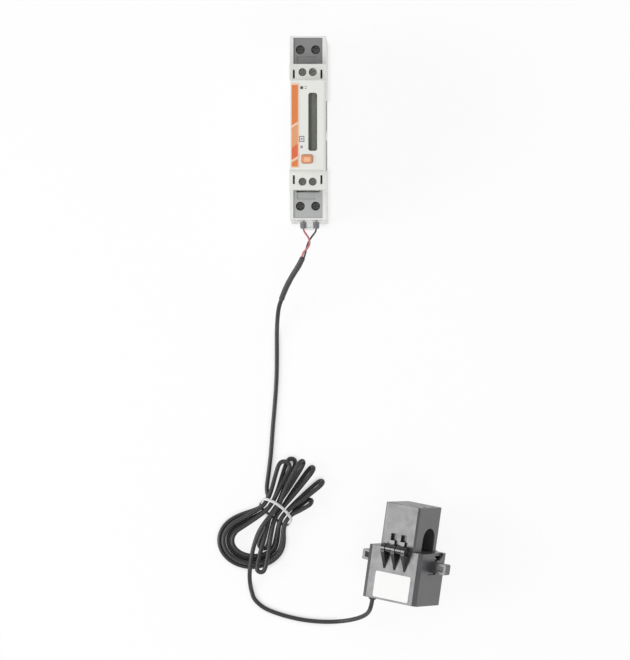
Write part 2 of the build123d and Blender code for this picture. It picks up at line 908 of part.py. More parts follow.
def lobe(first, second, end, tip_at, width, levels, lean=0, outward=1):
    """A narrow loop between two columns: its legs widen to a round tip at a given angle and reach.

    A lean folds the loop up, so that one leg lies over the other.
    """
    base = waist_point(waist_run * end, (column(first) + column(second)) / 2)
    a = math.radians(tip_at[0])
    tip = (waist_x + tip_at[1] * math.cos(a), waist_y + tip_at[1] * math.sin(a))
    length = math.dist(base, tip)
    ahead = ((tip[0] - base[0]) / length, (tip[1] - base[1]) / length)
    side = outward * math.cos(math.radians(lean))
    if end * (second - first) < 0:
        side = -side
    round_tip = width / 2
    leg = [(length * along, round_tip * across) for along, across in lobe_leg_shares]
    leg.append((length - round_tip * lobe_shoulder_share, round_tip))
    out = [(p, side * q) for p, q in leg] + [(length + round_tip * lobe_tip_share, 0)]
    out += [(p, -side * q) for p, q in reversed(leg)]
    return [
        (base[0] + p * ahead[0] - q * ahead[1], base[1] + p * ahead[1] + q * ahead[0], level)
        for (p, q), level in zip(out, levels)
    ]


def folded(low, width, lean):
    """The levels along a folded loop, from its lower leg to its upper one."""
    rise = width * math.sin(math.radians(lean)) / layer_step
    return [low] * 3 + [low + rise / 2, low + rise, low + (1 + 2 * rise) / 3, low + 1]


def open_loop(index, level, leftward):
    """A wide round loop below the waist, nested inside the one before it."""
    first = loop_first_angle + loop_end_turn * index
    last = loop_last_angle - loop_end_turn * index
    left = ring_inset_left * index + layer_inset_left * level
    right = ring_inset_right * index + layer_inset_right * level
    low = ring_inset_low * index + layer_inset_low * level
    points = []
    for i in range(loop_points):
        a = math.radians(first + (last - first) * i / (loop_points - 1))
        half = loop_half_width - (left + right) / 2
        x = loop_centre_x + (left - right) / 2 + half * math.cos(a)
        y = loop_centre_y + (loop_half_height - low) * math.sin(a)
        points.append((x, y, level))
    return points if leftward else points[::-1]


def hank_points():
    """The cable's way through the hank: two layers of six strands, and the leaving strand on top."""
    flat = [[level] * 7 for level in (0, 1)]
    fold = folded(0, fold_width, fold_lean)
    short_fold = folded(0, short_fold_width, steep_lean)
    top_fold = folded(1, top_fold_width, steep_lean)
    way = [*hank_way_in]
    way += waist_strand(0, 0, False) + open_loop(0, 0, True) + waist_strand(5, 0, True)
    way += lobe(5, 5, 1, short_fold_tip, short_fold_width, short_fold, steep_lean)
    way += waist_strand(5, 1, False) + open_loop(0, 1, False) + waist_strand(0, 1, True)
    way += lobe(0, 1, 1, open_lobe_tip, open_lobe_width, flat[1])
    way += waist_strand(1, 1, False) + open_loop(1, 1, True) + waist_strand(4, 1, True)
    way += lobe(4, 4, 1, right_fold_tip, fold_width, fold[::-1], fold_lean, -1)
    way += waist_strand(4, 0, False) + open_loop(1, 0, False) + waist_strand(1, 0, True)
    way += lobe(1, 2, 1, flat_lobe_tip, flat_lobe_width, flat[0])
    way += waist_strand(2, 0, False)
    way += lobe(2, 3, -1, low_lobe_tip, fold_width, flat[0])
    way += waist_strand(3, 0, True)
    way += lobe(3, 3, 1, middle_fold_tip, fold_width, fold, fold_lean)
    way += waist_strand(3, 1, False)
    way += lobe(3, 2, -1, long_lobe_tip, flat_lobe_width, long_lobe_levels)
    way += waist_strand(2, 1, True)
    way += lobe(2, 2, 1, top_fold_tip, top_fold_width, top_fold, steep_lean, -1)
    way += [*hank_way_out]
    return [(x, y, strand_height(x, y, level)) for x, y, level in way]


def least_self_gap(path, diameter, step, own):
    """The least gap between parts of one tube that lie more than own apart along it."""
    count = int(path.length / step)
    points = [tuple(path @ (i / count)) for i in range(count + 1)]
    skip = int(own / step) + 1
    least = path.length
    for i, a in enumerate(points):
        for b in points[i + skip :]:
            if abs(a[0] - b[0]) < least and abs(a[1] - b[1]) < least:
                least = min(least, math.dist(a, b))
    return least - diameter


def cable_tie():
    """A soft ring round the waist, leaning up the bundle."""
    a = math.radians(waist_angle)
    lean = math.radians(tie_lean)
    across = (-math.sin(a), math.cos(a), 0)
    normal = (math.cos(a) * math.cos(lean), math.sin(a) * math.cos(lean), -math.sin(lean))
    bottom = floor_centre + waist_lift - cable_diameter / 2 - tie_clearance
    low_side = floor_centre + waist_lift + layer_step + cable_diameter / 2 + tie_clearance
    top = floor_centre + waist_lift + 2 * layer_step + cable_diameter / 2 + tie_clearance
    middle = (bottom + top) / 2
    rise = [(z - middle) / math.cos(lean) for z in (bottom, low_side, top)]
    reach = column(0) + cable_diameter / 2 + tie_clearance
    crown = tie_crown / 2
    plane = Plane(origin=(waist_x, waist_y, middle), x_dir=across, z_dir=normal)
    sense = 1 if plane.y_dir.Z > 0 else -1
    inner = [(reach, rise[0]), (reach, rise[1]), (crown, rise[2])]
    inner += [(-x, y) for x, y in reversed(inner)]
    face = make_face(Polyline(*[(x, sense * y) for x, y in inner], close=True))
    face = fillet(face.vertices().filter_by(lambda v: abs(v.X) > reach / 2), tie_corner_radius)
    crowns = face.vertices().filter_by(lambda v: abs(v.X) <= crown + seat_gap)
    face = fillet(crowns, tie_crown_radius)
    ring = offset(face, tie_thickness, kind=Kind.ARC) - face
    return extrude(plane * ring, tie_width / 2, both=True)


def sensor_plane():
    """The sensor lies on a back edge and on its latch, and takes the lean that those two give it."""
    heading, roll, pitch = (math.radians(a) for a in (sensor_heading, sensor_roll, sensor_pitch))
    level = Vector(math.cos(heading), -math.sin(heading), 0)
    flat = math.cos(pitch)
    up = Vector(math.sin(heading) * flat, math.cos(heading) * flat, math.sin(pitch))
    across = level * math.cos(roll) + level.cross(up) * math.sin(roll)
    deep = level * math.sin(roll) - level.cross(up) * math.cos(roll)
    edge = across * (sensor_chamfer - sensor_width / 2) + deep * sensor_depth
    latch = across * (-latch_width / 2) + deep * (sensor_depth + latch_depth)
    height = -min(edge.Z, (latch + up * latch_low).Z, (latch + up * latch_high).Z)
    return Plane(origin=(sensor_x, sensor_y, height), x_dir=across, z_dir=up)


sensor_half = sensor_width / 2
cap_left = cap_offset - cap_width / 2
cap_right = cap_offset + cap_width / 2
cap_low = sensor_height + cap_gap
cap_top = cap_low + cap_height
arch_half = arch_width / 2
leg_front = arch_y - arch_half - core_clearance - core_thickness
leg_back = arch_y + arch_half + core_clearance + core_thickness
core_half = core_width / 2
upper_yoke_low = cap_low + arch_height + core_bridge


def core_legs(grow, z):
    """The two legs of a core half between two heights, or the pocket for them where grow isn't zero."""
    x = (cap_offset - core_half - grow, cap_offset + core_half + grow)
    front = (leg_front - grow, leg_front + core_thickness + grow)
    back = (leg_back - core_thickness - grow, leg_back + grow)
    return block(x, front, z) + block(x, back, z)


def base_block():
    """The base's outside: wide shallow bevels beside the front face, and plain chamfers at the back."""
    outline = [
        (sensor_bevel_width - sensor_half, 0),
        (sensor_half - sensor_bevel_width, 0),
        (sensor_half, sensor_bevel_depth),
        (sensor_half, sensor_depth - sensor_chamfer),
        (sensor_half - sensor_chamfer, sensor_depth),
        (sensor_chamfer - sensor_half, sensor_depth),
        (-sensor_half, sensor_depth - sensor_chamfer),
        (-sensor_half, sensor_bevel_depth),
    ]
    return extrude(make_face(Polyline(*outline, close=True)), sensor_height)


def sensor_base():
    half = sensor_half
    body = base_block()
    inner = half - sensor_wall
    walls = (sensor_wall, sensor_depth - sensor_wall)
    roof = sensor_height - sensor_roof
    body -= block((-inner, inner), walls, (-over, roof))
    guide = (cap_offset - core_half - sensor_wall, cap_offset + core_half + sensor_wall)
    body += block(guide, (walls[0] - seat_gap, walls[1] + seat_gap), (roof - sensor_roof, roof + seat_gap))
    body -= core_legs(core_fit, (core_low - core_fit, sensor_height + over))
    for side in (-1, 1):
        body += side_ear(side)
        groove_x = (side * (half - ear_groove_depth), side * (half + over))
        groove_y = (ear_y - ear_groove_length / 2, ear_y + ear_groove_length / 2)
        above = ear_low + ear_height
        body -= block(groove_x, groove_y, (above, above + ear_groove_height))
        body -= block(groove_x, groove_y, (ear_low - ear_groove_height, ear_low))
        body -= top_notch(side)
    body += latch_housing()
    body += hinge_lugs()
    return body


def side_ear(side):
    inner = side * (sensor_half - sensor_wall / 2)
    tip = side * (sensor_half + ear_reach)
    y = (ear_y - ear_thickness / 2, ear_y + ear_thickness / 2)
    ear = block((inner, tip), y, (ear_low, ear_low + ear_height))
    outer_edges = ear.faces().sort_by(Axis.X)[-1 if side > 0 else 0].edges().filter_by(Axis.Y)
    ear = fillet(outer_edges, ear_edge)
    hole_x = (tip - side * ear_rim, tip - side * (ear_rim + ear_hole_length))
    middle = ear_low + ear_height / 2
    hole_z = (middle - ear_hole_height / 2, middle + ear_hole_height / 2)
    return ear - block(hole_x, (y[0] - over, y[1] + over), hole_z)


def top_notch(side):
    """A wedge-shaped recess where the side wall meets the top."""
    outline = [
        (notch_start, sensor_height + over),
        (notch_start + notch_length, sensor_height + over),
        (notch_start + notch_length, sensor_height - notch_height / 3),
        (notch_start + notch_length * 2 / 3, sensor_height - notch_height),
        (notch_start + notch_length / 2, sensor_height - notch_height),
        (notch_start, sensor_height - notch_height / 3),
    ]
    face_x = sorted((side * (sensor_half - notch_depth), side * (sensor_half + over)))
    return side_prism(outline, face_x)


def latch_housing():
    half = latch_width / 2
    back = sensor_depth + latch_depth
    housing = block((-half, half), (sensor_depth - seat_gap, back), (latch_low, latch_high))
    slot_half = tongue_width / 2 + slip_gap
    slot = (sensor_depth + slip_gap, back - latch_wall)
    return housing - block((-slot_half, slot_half), slot, (latch_low + latch_wall, latch_high + over))


def face_plane(x, z):
    """The plane of the sensor's front face, looking outward, with its origin at a given place."""
    return Plane(origin=(x, 0, z), x_dir=(1, 0, 0), z_dir=(0, -1, 0))


def claw_levels(x):
    """Level cuts through a claw, from its tip up: each narrows from the wall to its front edge."""
    levels = []
    for high, deep, wide in zip(claw_height_shares, claw_depth_shares, claw_width_shares):
        z = lug_tip_height + (claw_top - lug_tip_height) * high
        front = -claw_tip_out - (claw_front - claw_tip_out) * deep
        root = (claw_tip_width + (claw_root_width - claw_tip_width) * wide) / 2
        edge = (claw_tip_width + (claw_front_width - claw_tip_width) * wide) / 2
        outline = [(x - root, seat_gap, z), (x + root, seat_gap, z)]
        outline += [(x + edge, front, z), (x - edge, front, z)]
        levels.append(make_face(Polyline(*outline, close=True)))
    return levels


def hinge_lugs():
    """Three claw-shaped lugs: a round knuckle above, and below it stacked wedges down to the tip."""
    profile = Pos(-pin_out, sensor_height) * Circle(lug_radius)
    web = [
        (-claw_front, claw_top),
        (seat_gap, claw_top),
        (seat_gap, sensor_height),
        (-pin_out, sensor_height),
        (-pin_out - lug_radius, sensor_height),
    ]
    profile += make_face(Polyline(*web, close=True))
    profile -= Pos(-pin_out, sensor_height) * Circle(pin_diameter / 2 + seat_gap / 2)
    lugs = None
    for i in range(lug_count):
        x = lug_centre + (i - (lug_count - 1) / 2) * lug_pitch
        lug = extrude(Plane.YZ.offset(x - lug_thickness / 2) * profile, lug_thickness)
        for low, high in zip(claw_levels(x), claw_levels(x)[1:]):
            lug += loft([low, high], ruled=True)
        lugs = lug if lugs is None else lugs + lug
    return lugs


def sensor_cap():
    cap = block((cap_left, cap_right), (cap_front, cap_back), (cap_low, cap_top))
    cap = chamfer(cap.edges().filter_by(Axis.Z), cap_corner)
    arch = Pos(arch_y, cap_low + arch_height - arch_half) * Circle(arch_half)
    foot = Pos(arch_y, cap_low + (arch_height - arch_half) / 2 - over / 2)
    arch += foot * Rectangle(arch_width, arch_height - arch_half + over)
    cap -= extrude(Plane.YZ.offset(cap_left - over) * arch, cap_width + 2 * over)
    cap -= core_legs(core_fit, (cap_low - over, upper_yoke_low + over))
    room_x = (cap_offset - core_half - core_fit, cap_offset + core_half + core_fit)
    room_y = (leg_front - core_fit, leg_back + core_fit)
    cap -= block(room_x, room_y, (upper_yoke_low - core_fit, cap_top - cap_lid_thickness + over))
    cap -= lid_block(seat_gap, cap_top + over)
    for middle in arm_middles():
        pocket_x = (middle - arm_thickness / 2, middle + arm_thickness / 2)
        pocket_y = (cap_front - over, cap_front + arm_pocket_depth)
        cap -= block(pocket_x, pocket_y, (arm_top - over, arm_pocket_top))
    cap += hinge_arms()
    cap += latch_tongue()
    return cap


def lid_block(grow, top):
    x = (cap_left + cap_wall - grow, cap_right - cap_wall + grow)
    y = (cap_front + cap_wall - grow, cap_back - cap_wall / 3 + grow)
    return block(x, y, (cap_top - cap_lid_thickness, top))


def cap_lid():
    """The lid that closes the cap over its core, with two small catch pockets."""
    lid = lid_block(0, cap_top)
    right = cap_right - cap_wall
    for share in pocket_y_shares:
        start = cap_front + (cap_back - cap_front) * share
        pocket = (right - pocket_width, right + over)
        lid -= block(pocket, (start, start + pocket_length), (cap_top - pocket_depth, cap_top + over))
    return lid


def arm_middles():
    return [lug_centre + side * lug_pitch / 2 for side in (-1, 1)]


def hinge_arms():
    """The two arms that reach from the cap's face to the hinge pin, between the lugs."""
    arms = None
    for middle in arm_middles():
        web = [
            (-pin_out - arm_radius, sensor_height),
            (-pin_out, sensor_height),
            (-pin_out + arm_radius, sensor_height + cap_gap),
            (cap_front + seat_gap, sensor_height + cap_gap),
            (cap_front + seat_gap, arm_top),
            (arm_front, arm_top),
            (arm_front, sensor_height + arm_radius),
            (-pin_out - arm_radius / 2, sensor_height + arm_radius),
        ]
        profile = make_face(Polyline(*web, close=True))
        profile += Pos(-pin_out, sensor_height) * Circle(arm_radius)
        profile -= Pos(-pin_out, sensor_height) * Circle(pin_diameter / 2 + running_gap)
        arm = extrude(Plane.YZ.offset(middle - arm_thickness / 2) * profile, arm_thickness)
        arms = arm if arms is None else arms + arm
    return arms


def latch_tongue():
    front = sensor_depth + tongue_offset
    outline = [
        (cap_back - seat_gap, tongue_high),
        (cap_back - seat_gap, tongue_high - tongue_root),
        (front, tongue_high - tongue_root - tongue_offset),
        (front, tongue_low),
        (front + tongue_thickness / 2, tongue_low),
        (front + tongue_thickness, tongue_low + tongue_thickness),
        (front + tongue_thickness, tongue_high - tongue_thickness),
        (front, tongue_high),
    ]
    return side_prism(outline, (-tongue_width / 2, tongue_width / 2))


def sensor_bottom_cover():
    half = sensor_half - sensor_wall - core_fit
    front = sensor_wall + core_fit
    cover = block((-half, half), (front, sensor_depth - front), (0, sensor_cover_thickness))
    return cover - rod((outlet_x, outlet_y), outlet_diameter, (-over, sensor_cover_thickness + over))


def sensor_outlet():
    """The rubber bush that the lead comes out of."""
    place = (outlet_x, outlet_y)
    bush = rod(place, outlet_diameter - seat_gap, (-outlet_lip / 2, sensor_cover_thickness + outlet_inside))
    lip = rod(place, outlet_lip_diameter, (-outlet_lip, -seat_gap / 2))
    lip = chamfer(lip.faces().sort_by(Axis.Z)[0].edges(), outlet_lip / 3)
    return bush + lip


def core_lower():
    yoke_x = (cap_offset - core_half, cap_offset + core_half)
    core = core_legs(0, (core_low, sensor_height))
    return core + block(yoke_x, (leg_front, leg_back), (core_low, core_low + core_yoke))


def core_upper():
    yoke_x = (cap_offset - core_half, cap_offset + core_half)
    top = cap_top - cap_lid_thickness - core_fit
    core = core_legs(0, (cap_low, top))
    return core + block(yoke_x, (leg_front, leg_back), (upper_yoke_low, top))


def around_yoke(grow):
    """Half the width, the lowest and the highest height of a sleeve round the lower yoke."""
    return core_half + grow, core_low - grow, core_low + core_yoke + grow


def yoke_sleeve(grow, y, corner=0):
    half, low, high = around_yoke(grow)
    sleeve = block((cap_offset - half, cap_offset + half), y, (low, high))
    return fillet(sleeve.edges().filter_by(Axis.Y), corner) if corner else sleeve


def bobbin():
    span = (leg_front + core_thickness + core_fit, leg_back - core_thickness - core_fit)
    body = yoke_sleeve(core_fit + bobbin_wall, span)
    for start in (span[0], span[1] - bobbin_flange):
        body += yoke_sleeve(core_fit + bobbin_wall + winding_build, (start, start + bobbin_flange))
    return body - yoke_sleeve(core_fit, (span[0] - over, span[1] + over))


def winding():
    inner = core_fit + bobbin_wall + seat_gap
    start = leg_front + core_thickness + core_fit + bobbin_flange + seat_gap
    stop = leg_back - core_thickness - core_fit - bobbin_flange - seat_gap
    outer = yoke_sleeve(inner + winding_build - slip_gap, (start, stop), winding_build)
    return outer - yoke_sleeve(inner, (start - over, stop + over))


def sensor_label():
    middle_x = sensor_label_left + sensor_label_width / 2
    middle_z = sensor_label_low + sensor_label_height / 2
    sheet = RectangleRounded(sensor_label_width, sensor_label_height, sensor_label_corner)
    return extrude(face_plane(middle_x, middle_z) * sheet, label_thickness)


def hinge_pin():
    reach = (lug_count - 1) / 2 * lug_pitch + lug_thickness / 2 - pin_inset
    pin = Pos(lug_centre, -pin_out, sensor_height) * Rot(0, 90, 0)
    return pin * Cylinder(pin_diameter / 2, 2 * reach)


def make_meter():
    save("housing_base", housing_base())
    save("rail_clip", rail_clip())
    save("front_cover", front_cover())
    save("front_stripe", front_stripe())
    save("side_labels", side_labels())
    save("display_window", display_window())
    save("display_module", display_module())
    save("push_button", push_button())
    save("button_switch", button_switch())
    save("pulse_led", pulse_led())
    save("front_board", front_board())
    save("main_board", main_board())
    save("supply_capacitor", supply_capacitor())
    save("supply_transformer", supply_transformer())
    save("terminal_bars", terminal_bars())
    for end, end_name in ((1, "upper"), (-1, "lower")):
        save(f"terminal_block_{end_name}", terminal_block(end))
        save(f"signal_block_{end_name}", signal_block(end))
        for side, side_name in ((-1, "left"), (1, "right")):
            screw, cage = mains_terminal(side, end, end > 0)
            save(f"mains_screw_{end_name}_{side_name}", screw)
            save(f"mains_cage_{end_name}_{side_name}", cage)
            screw, cage = signal_terminal(side, end)
            save(f"signal_screw_{end_name}_{side_name}", screw)
            save(f"signal_cage_{end_name}_{side_name}", cage)


def make_sensor(plane):
    place = plane.location
    pieces = {
        "sensor_base": sensor_base(),
        "sensor_cap": sensor_cap(),
        "sensor_cap_lid": cap_lid(),
        "sensor_hinge_pin": hinge_pin(),
        "sensor_bottom_cover": sensor_bottom_cover(),
        "sensor_outlet": sensor_outlet(),
        "sensor_core_lower": core_lower(),
        "sensor_core_upper": core_upper(),
        "sensor_bobbin": bobbin(),
        "sensor_winding": winding(),
        "sensor_label": sensor_label(),
    }
    for name, piece in pieces.items():
        save(name, place * piece)


def make_lead(plane):
    save("ferrule_left", ferrule(-1))
    save("ferrule_right", ferrule(1))
    starts = (ferrule_length, ferrule_length + core_first_run)
    mouths = [[ferrule_place(side, run).position for run in starts] for side in (-1, 1)]
    sleeve = [Vector(*place) for place in sleeve_way]
    heading = (sleeve[1] - sleeve[0]).normalized()
    across = heading.cross(Vector(0, 0, 1)).normalized() * (core_diameter / 2 + running_gap)
    back = heading * core_diameter * core_last_run_share
    red = [*mouths[0], *red_way, sleeve[0] + across - back, sleeve[0] + across]
    black = [*mouths[1], *black_way, sleeve[0] - across - back, sleeve[0] - across]
    onward = (sleeve[-1] - sleeve[-2]).normalized()
    hank = [Vector(*place) for place in hank_points()]
    lead_in = (hank[0] - hank[1]).normalized() * hank_entry_run
    upper = [sleeve[-1], sleeve[-1] + onward * sleeve_exit_run, *above_table(upper_way)]
    upper += [hank[0] + lead_in, hank[0]]
    lead_out = (hank[-1] - hank[-2]).normalized() * hank_exit_run
    outlet = plane.from_local_coords(Vector(outlet_x, outlet_y, -outlet_lip))
    lower = [hank[-1], hank[-1] + lead_out, *above_table(lower_way)]
    lower += [outlet - plane.z_dir * outlet_run, outlet]
    solid, path = tube("lead_red", red, core_diameter)
    save("lead_red", solid)
    solid, path = tube("lead_black", black, core_diameter)
    save("lead_black", solid)
    solid, path = tube("cable_sleeve", sleeve, sleeve_diameter)
    save("cable_sleeve", solid)
    solid, path = tube("cable_upper", upper, cable_diameter)
    save("cable_upper", solid)
    solid, path = tube("cable_hank", hank, cable_diameter)
    save("cable_hank", solid)
    print(f"cable_hank: least gap to itself {least_self_gap(path, cable_diameter, 0.5, 8):.2f}")
    solid, path = tube("cable_lower", lower, cable_diameter)
    save("cable_lower", solid)
    save("cable_tie", cable_tie())


make_meter()
sensor = sensor_plane()
make_sensor(sensor)
make_lead(sensor)
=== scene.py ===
# %% [markdown]
# # A rail-mounted energy meter and its split-core current sensor
# The real object has three parts: a slim white meter, one module wide, that snaps onto a
# mounting rail; a black sensor that opens on a hinge and closes round a conductor; and the
# thin lead between them, tied up in a hank. The rigid pieces come from the CAD model, which
# is loaded as a fixed frame. This file gives every one of them a material, and makes the
# soft pieces new: the cable, its cores and sleeve, the tie, and the coil inside the sensor.

# %% Load the frame
import math

import bmesh
import bpy
import numpy as np
from mathutils import Matrix, Vector


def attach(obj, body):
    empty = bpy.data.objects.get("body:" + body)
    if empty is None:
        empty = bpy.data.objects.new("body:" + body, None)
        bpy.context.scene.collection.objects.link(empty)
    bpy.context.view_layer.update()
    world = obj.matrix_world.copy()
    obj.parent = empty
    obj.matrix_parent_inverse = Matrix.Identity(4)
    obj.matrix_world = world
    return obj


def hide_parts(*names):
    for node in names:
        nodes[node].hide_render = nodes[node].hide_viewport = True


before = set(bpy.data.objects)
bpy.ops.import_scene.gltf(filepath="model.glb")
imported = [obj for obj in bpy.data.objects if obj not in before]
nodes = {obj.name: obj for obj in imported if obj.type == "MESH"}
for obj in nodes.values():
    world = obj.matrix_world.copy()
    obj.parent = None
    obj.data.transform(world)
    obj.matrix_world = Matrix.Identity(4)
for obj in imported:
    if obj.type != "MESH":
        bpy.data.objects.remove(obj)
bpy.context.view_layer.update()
scene = bpy.context.scene
scene.view_settings.view_transform = "Standard"
MM = 0.001

# %% [markdown]
# ## The camera
# The photograph was taken from straight above with a long lens: the meter and the sensor
# show hardly any perspective. The meter's width of 18 mm spans about 36 pixels, which gives
# the scale, and how little its walls show gives a camera nearly two metres up. It is aimed
# at the middle of the picture, a few centimetres towards the picture's upper left from the
# point straight below the camera. The top of the picture is the +Y side.

# %% Place the camera
eye = Vector((0.0415, -0.1337, 1.9))
aim = Vector((0.00261, -0.09916, 0.0))
picture_up = Vector((0, 1, 0))
film_width = 36.0
focal_pixels = 3762.0
picture_width = 630
farthest_seen = 20.0
camera_data = bpy.data.cameras.new("camera")
camera_data.sensor_fit = "HORIZONTAL"
camera_data.sensor_width = film_width
camera_data.lens = focal_pixels * film_width / picture_width
camera_data.clip_end = farthest_seen
camera = bpy.data.objects.new("camera", camera_data)
scene.collection.objects.link(camera)
look = (aim - eye).normalized()
rightward = look.cross(picture_up).normalized()
turn = Matrix((rightward, rightward.cross(look), -look)).transposed().to_4x4()
camera.matrix_world = Matrix.Translation(eye) @ turn
scene.camera = camera
print("lens", round(camera_data.lens, 1), "mm")

# %% [markdown]
# ## The cable's route
# The lead is one round two-core cable, 2.2 mm thick and about a metre long. Its route is
# kept in millimetres. Outside the hank it is a short list of given places: out of the
# sleeve, down to the table and along it, and at the other end up into the sensor.

# %% The route outside the hank
sleeve_way = [
    (-3.1, -63.4, 22.0), (-4.9, -67.2, 20.0), (-8.0, -71.6, 17.4),
    (-10.8, -76.4, 14.2), (-12.8, -80.6, 11.5), (-14.2, -84.3, 9.3),
]
upper_way = [
    (-15.44, -87.57, 7.36), (-16.2, -92.8, 4.5), (-16.6, -99.4, 2.1), (-16.6, -107.5, 1.15),
    (-16.6, -117.5, 1.15), (-16.9, -127.0, 1.15), (-17.7, -137.5, 1.15), (-18.7, -149.0, 1.15),
    (-19.49, -161.04, 1.14),
]
lower_way = [
    (-28.4, -234.21, 1.15), (-26.3, -236.9, 1.15), (-22.6, -239.7, 1.15), (-17.2, -241.9, 1.15),
    (-10.6, -243.9, 1.15), (-2.6, -245.6, 1.15), (6.4, -246.4, 1.15), (14.0, -246.2, 2.3),
    (20.5, -245.2, 5.6), (25.8, -243.6, 9.8), (29.6, -241.2, 14.6), (31.13, -237.34, 20.03),
    (31.6, -233.98, 20.27),
]
print(len(sleeve_way) + len(upper_way) + len(lower_way), "places outside the hank")

# %% [markdown]
# ## The hank
# Someone wound the spare cable into loops and tied them at a waist. There the strands lie
# side by side, in six columns and two layers, so a strand is known by its column and its
# layer. The strands lie flat on the table and rise a little where the tie passes under them.

# %% Strands through the waist
waist_x = -16.9
waist_y = -190.6
waist_angle = math.radians(53)
waist_run = 3.2
strand_pitch = 2.78
strand_columns = 6
layer_step = 2.7
cable_thickness = 2.2
table_gap = 0.05
resting_height = cable_thickness / 2 + table_gap
waist_lift = 1.8
lift_flat = 9.0
lift_slope = 10.0


def waist_point(along_it, across_it):
    """The waist's middle, plus so far along its strands and so far across them to the left."""
    x = waist_x + along_it * math.cos(waist_angle) - across_it * math.sin(waist_angle)
    return x, waist_y + along_it * math.sin(waist_angle) + across_it * math.cos(waist_angle)


def strand_height(x, y, layer):
    """A step for each layer, and a smooth lift that fades with the distance from the waist."""
    away = math.hypot(x - waist_x, y - waist_y)
    t = min(max((away - lift_flat) / lift_slope, 0), 1)
    return resting_height + waist_lift * (1 - t * t * (3 - 2 * t)) + layer_step * layer


def column(index):
    """How far a column lies across the waist: the first is the leftmost."""
    return ((strand_columns - 1) / 2 - index) * strand_pitch


def waist_strand(index, layer, upward):
    """One straight strand through the waist."""
    ends = [(*waist_point(s, column(index)), layer) for s in (-waist_run, waist_run)]
    return ends if upward else ends[::-1]


print("waist", round(column(0) - column(strand_columns - 1), 1), "mm across its strands")

# %% [markdown]
# Above the waist, and twice below it, the cable turns back in a narrow loop like a hairpin.
# Some loops lie flat, and others are folded up, so that one leg lies over the other and the
# cable comes back in the other layer.

# %% Narrow loops
leg_shares = ((0.34, 0.60), (0.64, 0.86))
shoulder_share = 0.42
tip_share = 0.155
lobe_places = 7


def lobe(first, second, end, tip_at, width, layers, lean=0, outward=1):
    """Two legs that widen from two columns to a round tip, at a given angle and reach.

    A lean narrows the loop by its cosine, as if it were folded up.
    """
    base = waist_point(waist_run * end, (column(first) + column(second)) / 2)
    a = math.radians(tip_at[0])
    tip = (waist_x + tip_at[1] * math.cos(a), waist_y + tip_at[1] * math.sin(a))
    length = math.dist(base, tip)
    ahead = ((tip[0] - base[0]) / length, (tip[1] - base[1]) / length)
    side = outward * math.cos(math.radians(lean))
    if end * (second - first) < 0:
        side = -side
    round_tip = width / 2
    leg = [(length * p, round_tip * q) for p, q in leg_shares]
    leg.append((length - round_tip * shoulder_share, round_tip))
    out = [(p, side * q) for p, q in leg] + [(length + round_tip * tip_share, 0)]
    out += [(p, -side * q) for p, q in reversed(leg)]
    return [
        (base[0] + p * ahead[0] - q * ahead[1], base[1] + p * ahead[1] + q * ahead[0], layer)
        for (p, q), layer in zip(out, layers)
    ]


def folded(low, width, lean):
    """The layers along a folded loop: its tip stands up by its width times the lean's sine."""
    rise = width * math.sin(math.radians(lean)) / layer_step
    return [low] * 3 + [low + rise / 2, low + rise, low + (1 + 2 * rise) / 3, low + 1]


print("a narrow loop has", lobe_places, "places")

# %% [markdown]
# The wide loops below the waist are arcs of an ellipse, nested inside each other. An inner
# ring is drawn in by three insets, on the left, on the right and below, and so is the upper
# layer.

# %% Wide round loops
loop_centre_x = -29.3
loop_centre_y = -205.3
loop_half_width = 16.9
loop_half_height = 13.9
ring_insets = np.array([4.6, 3.5, 4.0])
layer_insets = np.array([2.3, 1.0, 1.9])
loop_first_angle = 112
loop_last_angle = 347
loop_end_turn = 5
loop_points = 9


def open_loop(index, layer, leftward):
    """Points on an ellipse: centre + (half width * cos, half height * sin), from end to end."""
    left, right, low = ring_insets * index + layer_insets * layer
    half = loop_half_width - (left + right) / 2
    first = loop_first_angle + loop_end_turn * index
    last = loop_last_angle - loop_end_turn * index
    angles = np.radians(np.linspace(first, last, loop_points))
    x = loop_centre_x + (left - right) / 2 + half * np.cos(angles)
    y = loop_centre_y + (loop_half_height - low) * np.sin(angles)
    points = [(float(u), float(v), layer) for u, v in zip(x, y)]
    return points if leftward else points[::-1]


print("a wide loop has", loop_points, "places")

# %% [markdown]
# Now the cable can be followed through the hank: the lower layer and the upper one are
# joined by the folded loops, and the last strand leaves on top. Each loop's tip is given by
# its angle round the waist and its reach from there, as the photograph shows them.

# %% Through the hank
short_fold_tip = (17.0, 18.6)
open_lobe_tip = (78.5, 25.4)
right_fold_tip = (33.0, 27.8)
flat_lobe_tip = (72.5, 27.6)
low_lobe_tip = (249.0, 20.0)
middle_fold_tip = (50.0, 28.9)
long_lobe_tip = (255.3, 31.5)
top_fold_tip = (62.0, 28.7)
flat_width = 4.6
open_width = 6.2
fold_width = 4.8
short_width = 5.6
top_width = 5.0
fold_lean = 60
steep_lean = 62
long_layers = (1.5, 2, 2, 2, 2, 2, 1.2)
way_in = [(-20.1, -166.0, 0), (-20.9, -172.5, 0), (-21.9, -180.0, 0)]
way_out = [
    (-15.2, -187.6, 2), (-18.6, -191.6, 2), (-22.4, -195.8, 2), (-25.8, -201.2, 2),
    (-27.8, -207.0, 2), (-29.2, -213.0, 2), (-30.0, -219.0, 2.05), (-30.3, -223.4, 1.2),
    (-30.1, -226.8, 0.35), (-29.7, -229.6, 0), (-29.05, -231.9, 0),
]


